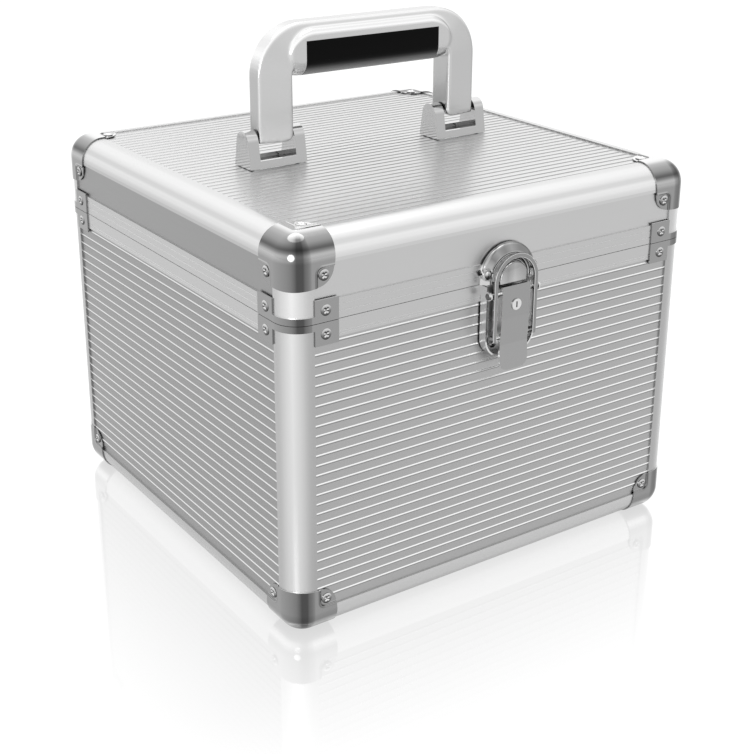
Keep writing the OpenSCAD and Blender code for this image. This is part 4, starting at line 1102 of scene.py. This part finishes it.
@dataclass
class CarriedNodes:
    """The nodes that stay as they are and get a finish and eased edges."""

    finish: Material
    nodes: Sequence[str]
    ease_mm: float = 0.0
    wide_ease_mm: float = 0.5
    crease: float = 40.0

    def dress(self) -> None:
        """Puts the finish on every node and rounds its sharp edges a little."""
        for name in self.nodes:
            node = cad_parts[name]
            node.data.materials.clear()
            node.data.materials.append(self.finish)
            if self.ease_mm:
                bevel = node.modifiers.new("eased_edges", "BEVEL")
                bevel.width = self.ease_mm * MM
                bevel.segments = 2 if self.ease_mm < self.wide_ease_mm else 4
                bevel.limit_method = "ANGLE"
                bevel.angle_limit = math.radians(self.crease)
            LOG.info("dressed %s", name)


# ---- the case

# Painted reflection: dark and bright bands round chrome, as the skin turns seen from above.
CHROME_PAINTED_ROUND: Stops = ((0.0, 228), (0.05, 205), (0.15, 180), (0.26, 160), (0.33, 124), (0.53, 124),
                       (0.6, 160), (0.7, 190), (0.805, 206), (0.886, 215), (1.0, 229))

# Each finish by the short name that the pieces and nodes ask for. Real die lines, brush lines and blasting
# grit are finer than a tenth of a millimetre and would not show, so they are drawn 0.3 to 0.8 mm wide.
# The metals' greys are painted light, shade and reflection that follow the turn of their skin.
FINISHES: dict[str, Finish] = {
    # Painted highlight on each rib's upper flank, painted shade on its lower one.
    "sheet": RolledAluminiumSheet("rolled_aluminium", 0.34, (
        (Turn.HEIGHT, ((-0.6, 122), (-0.2, 146), (-0.05, 165), (0.05, 169), (0.2, 210), (0.5, 255))),
        (Turn.ACROSS, ((-1.0, 228), (-0.3, 255)))), (40.0, 40.0, 0.3), 0.06),
    # Painted highlight on the ribs' back flanks, painted shade on the front ones.
    "top_sheet": RolledAluminiumSheet("rolled_aluminium_top", 0.3, (
        (Turn.DEPTH, ((-0.6, 160), (-0.12, 217), (0.0, 236), (0.12, 246), (0.6, 255))),),
        (40.0, 40.0, 0.3), 0.06),
    # Painted shade: darkest on the left side, darker on the right than in front.
    "band": AnodisedAluminium("rolled_band", 0.36, (
        (Turn.ACROSS, ((-1.0, 149), (-0.5, 176), (0.0, 188), (1.0, 172))),), (30.0, 30.0, 0.4)),
    # Painted shade: darker seen square on, brighter round the corner and on the left.
    "post": AnodisedAluminium("anodised_post", 0.3, (
        (Turn.CORNER, ((0.707, 214), (0.866, 204), (0.94, 194), (0.985, 182), (1.0, 176))),
        (Turn.ACROSS, ((-1.0, 255), (-0.4, 252), (0.0, 243)))), (0.6, 0.6, 200.0), bump=0.03),
    # The same painted shade, a little paler.
    "lid_post": AnodisedAluminium("anodised_lid_post", 0.3, (
        (Turn.CORNER, ((0.707, 219), (0.866, 213), (0.94, 206), (0.985, 195), (1.0, 187))),),
        (0.6, 0.6, 200.0), bump=0.03),
    # Painted highlights: two bright lines run along the rounded extrusion, with painted shade below.
    "edge": AnodisedAluminium("anodised_edge", 0.3, (
        (Turn.HEIGHT, ((-1.0, 150), (-0.5, 185), (0.0, 194), (0.12, 213), (0.25, 232), (0.4, 236),
                       (0.5, 217), (0.6, 216), (0.7, 233), (0.85, 243), (0.95, 241), (1.0, 229))),
        (Turn.ACROSS, ((-1.0, 237), (-0.97, 245), (-0.9, 252), (-0.55, 254), (0.0, 255), (1.0, 250)))),
        (200.0, 0.6, 0.6)),
    # Painted light and shade: a thin darker line between two bright lips.
    "rim": AnodisedAluminium("anodised_rim", 0.3, (
        (Turn.HEIGHT, ((-0.5, 226), (-0.1, 205), (0.0, 190), (0.1, 215), (0.5, 250))),
        (Turn.ACROSS, ((-1.0, 248), (0.0, 246), (1.0, 246)))), (60.0, 60.0, 0.5)),
    # Painted reflection: dark and bright bands from the foot up to white on top.
    "chrome": ChromedSteel("chromed_steel", 0.1, (
        (Turn.HEIGHT, ((-1.0, 84), (-0.93, 34), (-0.8, 34), (-0.72, 96), (-0.64, 190), (-0.54, 214),
                       (-0.42, 176), (-0.3, 142), (-0.1, 152), (0.0, 160), (0.05, 170), (0.15, 190),
                       (0.25, 207), (0.3, 201), (0.39, 153), (0.48, 108), (0.53, 117), (0.61, 147),
                       (0.7, 172), (0.78, 184), (0.85, 190), (0.91, 196), (0.944, 218), (0.97, 242),
                       (1.0, 255))),
        (Turn.ROUND, CHROME_PAINTED_ROUND))),
    # Painted reflection: mid grey seen square on, bright where the plate turns.
    "clasp": ChromedSteel("chromed_clasp", 0.1, (
        (Turn.HEIGHT, ((-1.0, 240), (-0.3, 255), (-0.08, 164), (0.0, 162), (0.08, 164), (0.3, 255))),
        (Turn.ROUND, CHROME_PAINTED_ROUND))),
    # Soft bands of painted light and shade stand up round the cone.
    "hood": ChromedSteel("chromed_catch", 0.12, (
        (Turn.HEIGHT, ((-1.0, 140), (-0.3, 180), (0.0, 205), (0.2, 190), (0.4, 200), (0.56, 176),
                       (0.7, 205), (1.0, 245))),
        (Turn.ACROSS, ((-1.0, 250), (-0.6, 246), (-0.5, 225), (-0.42, 170), (-0.3, 222), (-0.15, 195),
                       (0.0, 224), (0.2, 196), (0.4, 168), (0.6, 180), (1.0, 235))))),
    # Satin chrome, nearly white, with painted shade below and a painted dark band where it faces left.
    "bright": ChromedSteel("bright_chrome", 0.28, (
        (Turn.HEIGHT, ((-1.0, 205), (-0.3, 222), (0.0, 230), (1.0, 250))),
        (Turn.ACROSS, ((-1.0, 255), (-0.7, 190), (-0.4, 236), (0.0, 232), (1.0, 245))))),
    # Round wire: a painted highlight line beside a painted dark one.
    "wire": ChromedSteel("chromed_wire", 0.1, (
        (Turn.DEPTH, ((-1.0, 136), (-0.95, 160), (-0.84, 255), (-0.68, 130), (-0.5, 72), (-0.2, 150),
                      (1.0, 150))),)),
    # Brushed before plating, with streaks along it; painted shade makes it greyer where it faces forwards and
    # downwards.
    "lever": ChromedSteel("brushed_lever", 0.16, (
        (Turn.DEPTH, ((-1.0, 152), (-0.8, 190), (-0.4, 240), (0.2, 255))),
        (Turn.HEIGHT, ((-1.0, 170), (-0.3, 226), (-0.1, 250), (0.0, 246), (0.06, 255)))),
        (0.5, 6.0, 12.0), 0.04),
    # Painted light and shade: darker below and where it faces front or back, bright bands above.
    "plate": ChromedSteel("chromed_bracket", 0.12, (
        (Turn.HEIGHT, ((-1.0, 130), (-0.2, 185), (0.0, 210), (0.2, 232), (0.4, 255), (0.6, 225),
                       (0.8, 250), (1.0, 240))),
        (Turn.DEPTH, ((-1.0, 200), (-0.6, 240), (0.0, 255), (0.6, 240), (1.0, 200))))),
    # Bright zinc on screws, rivets and pins: painted shade below, painted highlight above.
    "zinc": ChromedSteel("zinc_screws", 0.14, (
        (Turn.HEIGHT, ((-1.0, 24), (-0.3, 56), (-0.08, 100), (0.0, 126), (0.25, 206), (0.6, 255))),),
        spread=0.04),
    # Blasted casting, etched: soft and pale, with an even grain; painted highlights on its rounds, painted
    # shade below and towards the right.
    "satin": AnodisedAluminium("satin_handle", 0.2, (
        (Turn.HEIGHT, ((-1.0, 150), (-0.5, 180), (-0.2, 197), (0.0, 206), (0.1, 214), (0.22, 240),
                       (0.4, 255), (0.5, 250), (0.6, 240), (0.7, 240), (0.8, 252), (0.92, 253),
                       (1.0, 250))),
        (Turn.CORNER, ((0.707, 255), (0.9, 255), (0.96, 243), (0.99, 237), (1.0, 234))),
        (Turn.ACROSS, ((-1.0, 238), (-0.9, 255), (0.06, 255), (0.14, 242), (0.4, 208), (1.0, 200)))),
        (0.8, 0.8, 0.8)),
    # Painted sheen: grey where the insert curls under, black on top.
    "black": GlossAbs("black_abs", 0.2, ((-0.9, 132), (-0.7, 124), (-0.55, 98), (-0.4, 56), (-0.25, 22),
                                         (-0.1, 8), (0.0, 2))),
    "foam": EvaFoam("eva_foam", 0.95),
}

# The nodes that stay as they are: their finish, how far their edges are eased in millimetres, and names.
CARRIED = (
    ("sheet", 0.0, ["base_floor_panel"]),
    ("band", 0.0, ["lid_front_band", "lid_back_band", "lid_left_band", "lid_right_band"]),
    ("post", 0.25, [f"base_post_{place}" for place in PLACES]),
    ("lid_post", 0.25, ["lid_posts"]),
    ("edge", 0.25, ["base_edges", "lid_edges"]),
    ("rim", 0.0, ["base_rim", "lid_rim"]),
    ("clasp", 0.3, ["base_clasps", "lid_clasps"]),
    ("chrome", 0.3, ["hinge_base_leaves", "hinge_lid_leaves"]),
    ("bright", 0.25, ["latch_base", "lock_plug"]),
    ("wire", 0.8, ["latch_bail"]),
    ("lever", 0.2, ["latch_lever"]),
    ("plate", 0.3, ["handle_bracket_left", "handle_bracket_right", "handle_backing_plates"]),
    ("zinc", 0.0, ["latch_base_rivets", "latch_catch_rivets", "hinge_base_rivets", "hinge_lid_rivets",
                   "latch_lever_pin", "latch_bail_studs", "hinge_pins", "handle_pins", "lock_cam"]),
    ("foam", 0.0, ["base_floor_lining", "base_wall_lining", "lid_top_lining", "lid_wall_lining"]),
)


def build_pieces(look: dict[str, Material]) -> None:
    """Builds the pieces that are modelled in full.

    Args:
        look: the materials by their short names.
    """
    for side in (Side.FRONT, Side.BACK, Side.LEFT, Side.RIGHT):
        RibbedBoard(side, f"base_{side.name.lower()}_panel", "ribbed_board", "case", look["sheet"]).build()
    RibbedBoard(Side.TOP, "lid_top_panel", "top_board", "lid", look["top_sheet"], pitch=6.25).build()
    for half, body in (("base", "case"), ("lid", "lid")):
        for place in PLACES:
            BallCorner(f"{half}_corner_{place}", body, look["chrome"]).build()
        for kind in ("corner", "clasp"):
            ScrewHeads(f"{half}_{kind}_screws", body, look["zinc"]).build()
    casting = HandleCasting(look["satin"])
    casting.build()
    GripInsert(look["black"], casting).build()
    LatchCatch(look["hood"]).build()


def dress_nodes(look: dict[str, Material]) -> None:
    """Dresses the nodes that stay as they are.

    Args:
        look: the materials by their short names.
    """
    for name, ease_mm, nodes in CARRIED:
        CarriedNodes(look[name], nodes, ease_mm).dress()


def main() -> None:
    """Builds the studio and the case's finishes and pieces."""
    logging.basicConfig(level=logging.INFO, format="%(message)s")
    Studio().build()
    look = {name: finish.build() for name, finish in FINISHES.items()}
    build_pieces(look)
    dress_nodes(look)


if __name__ == "__main__":
    main()
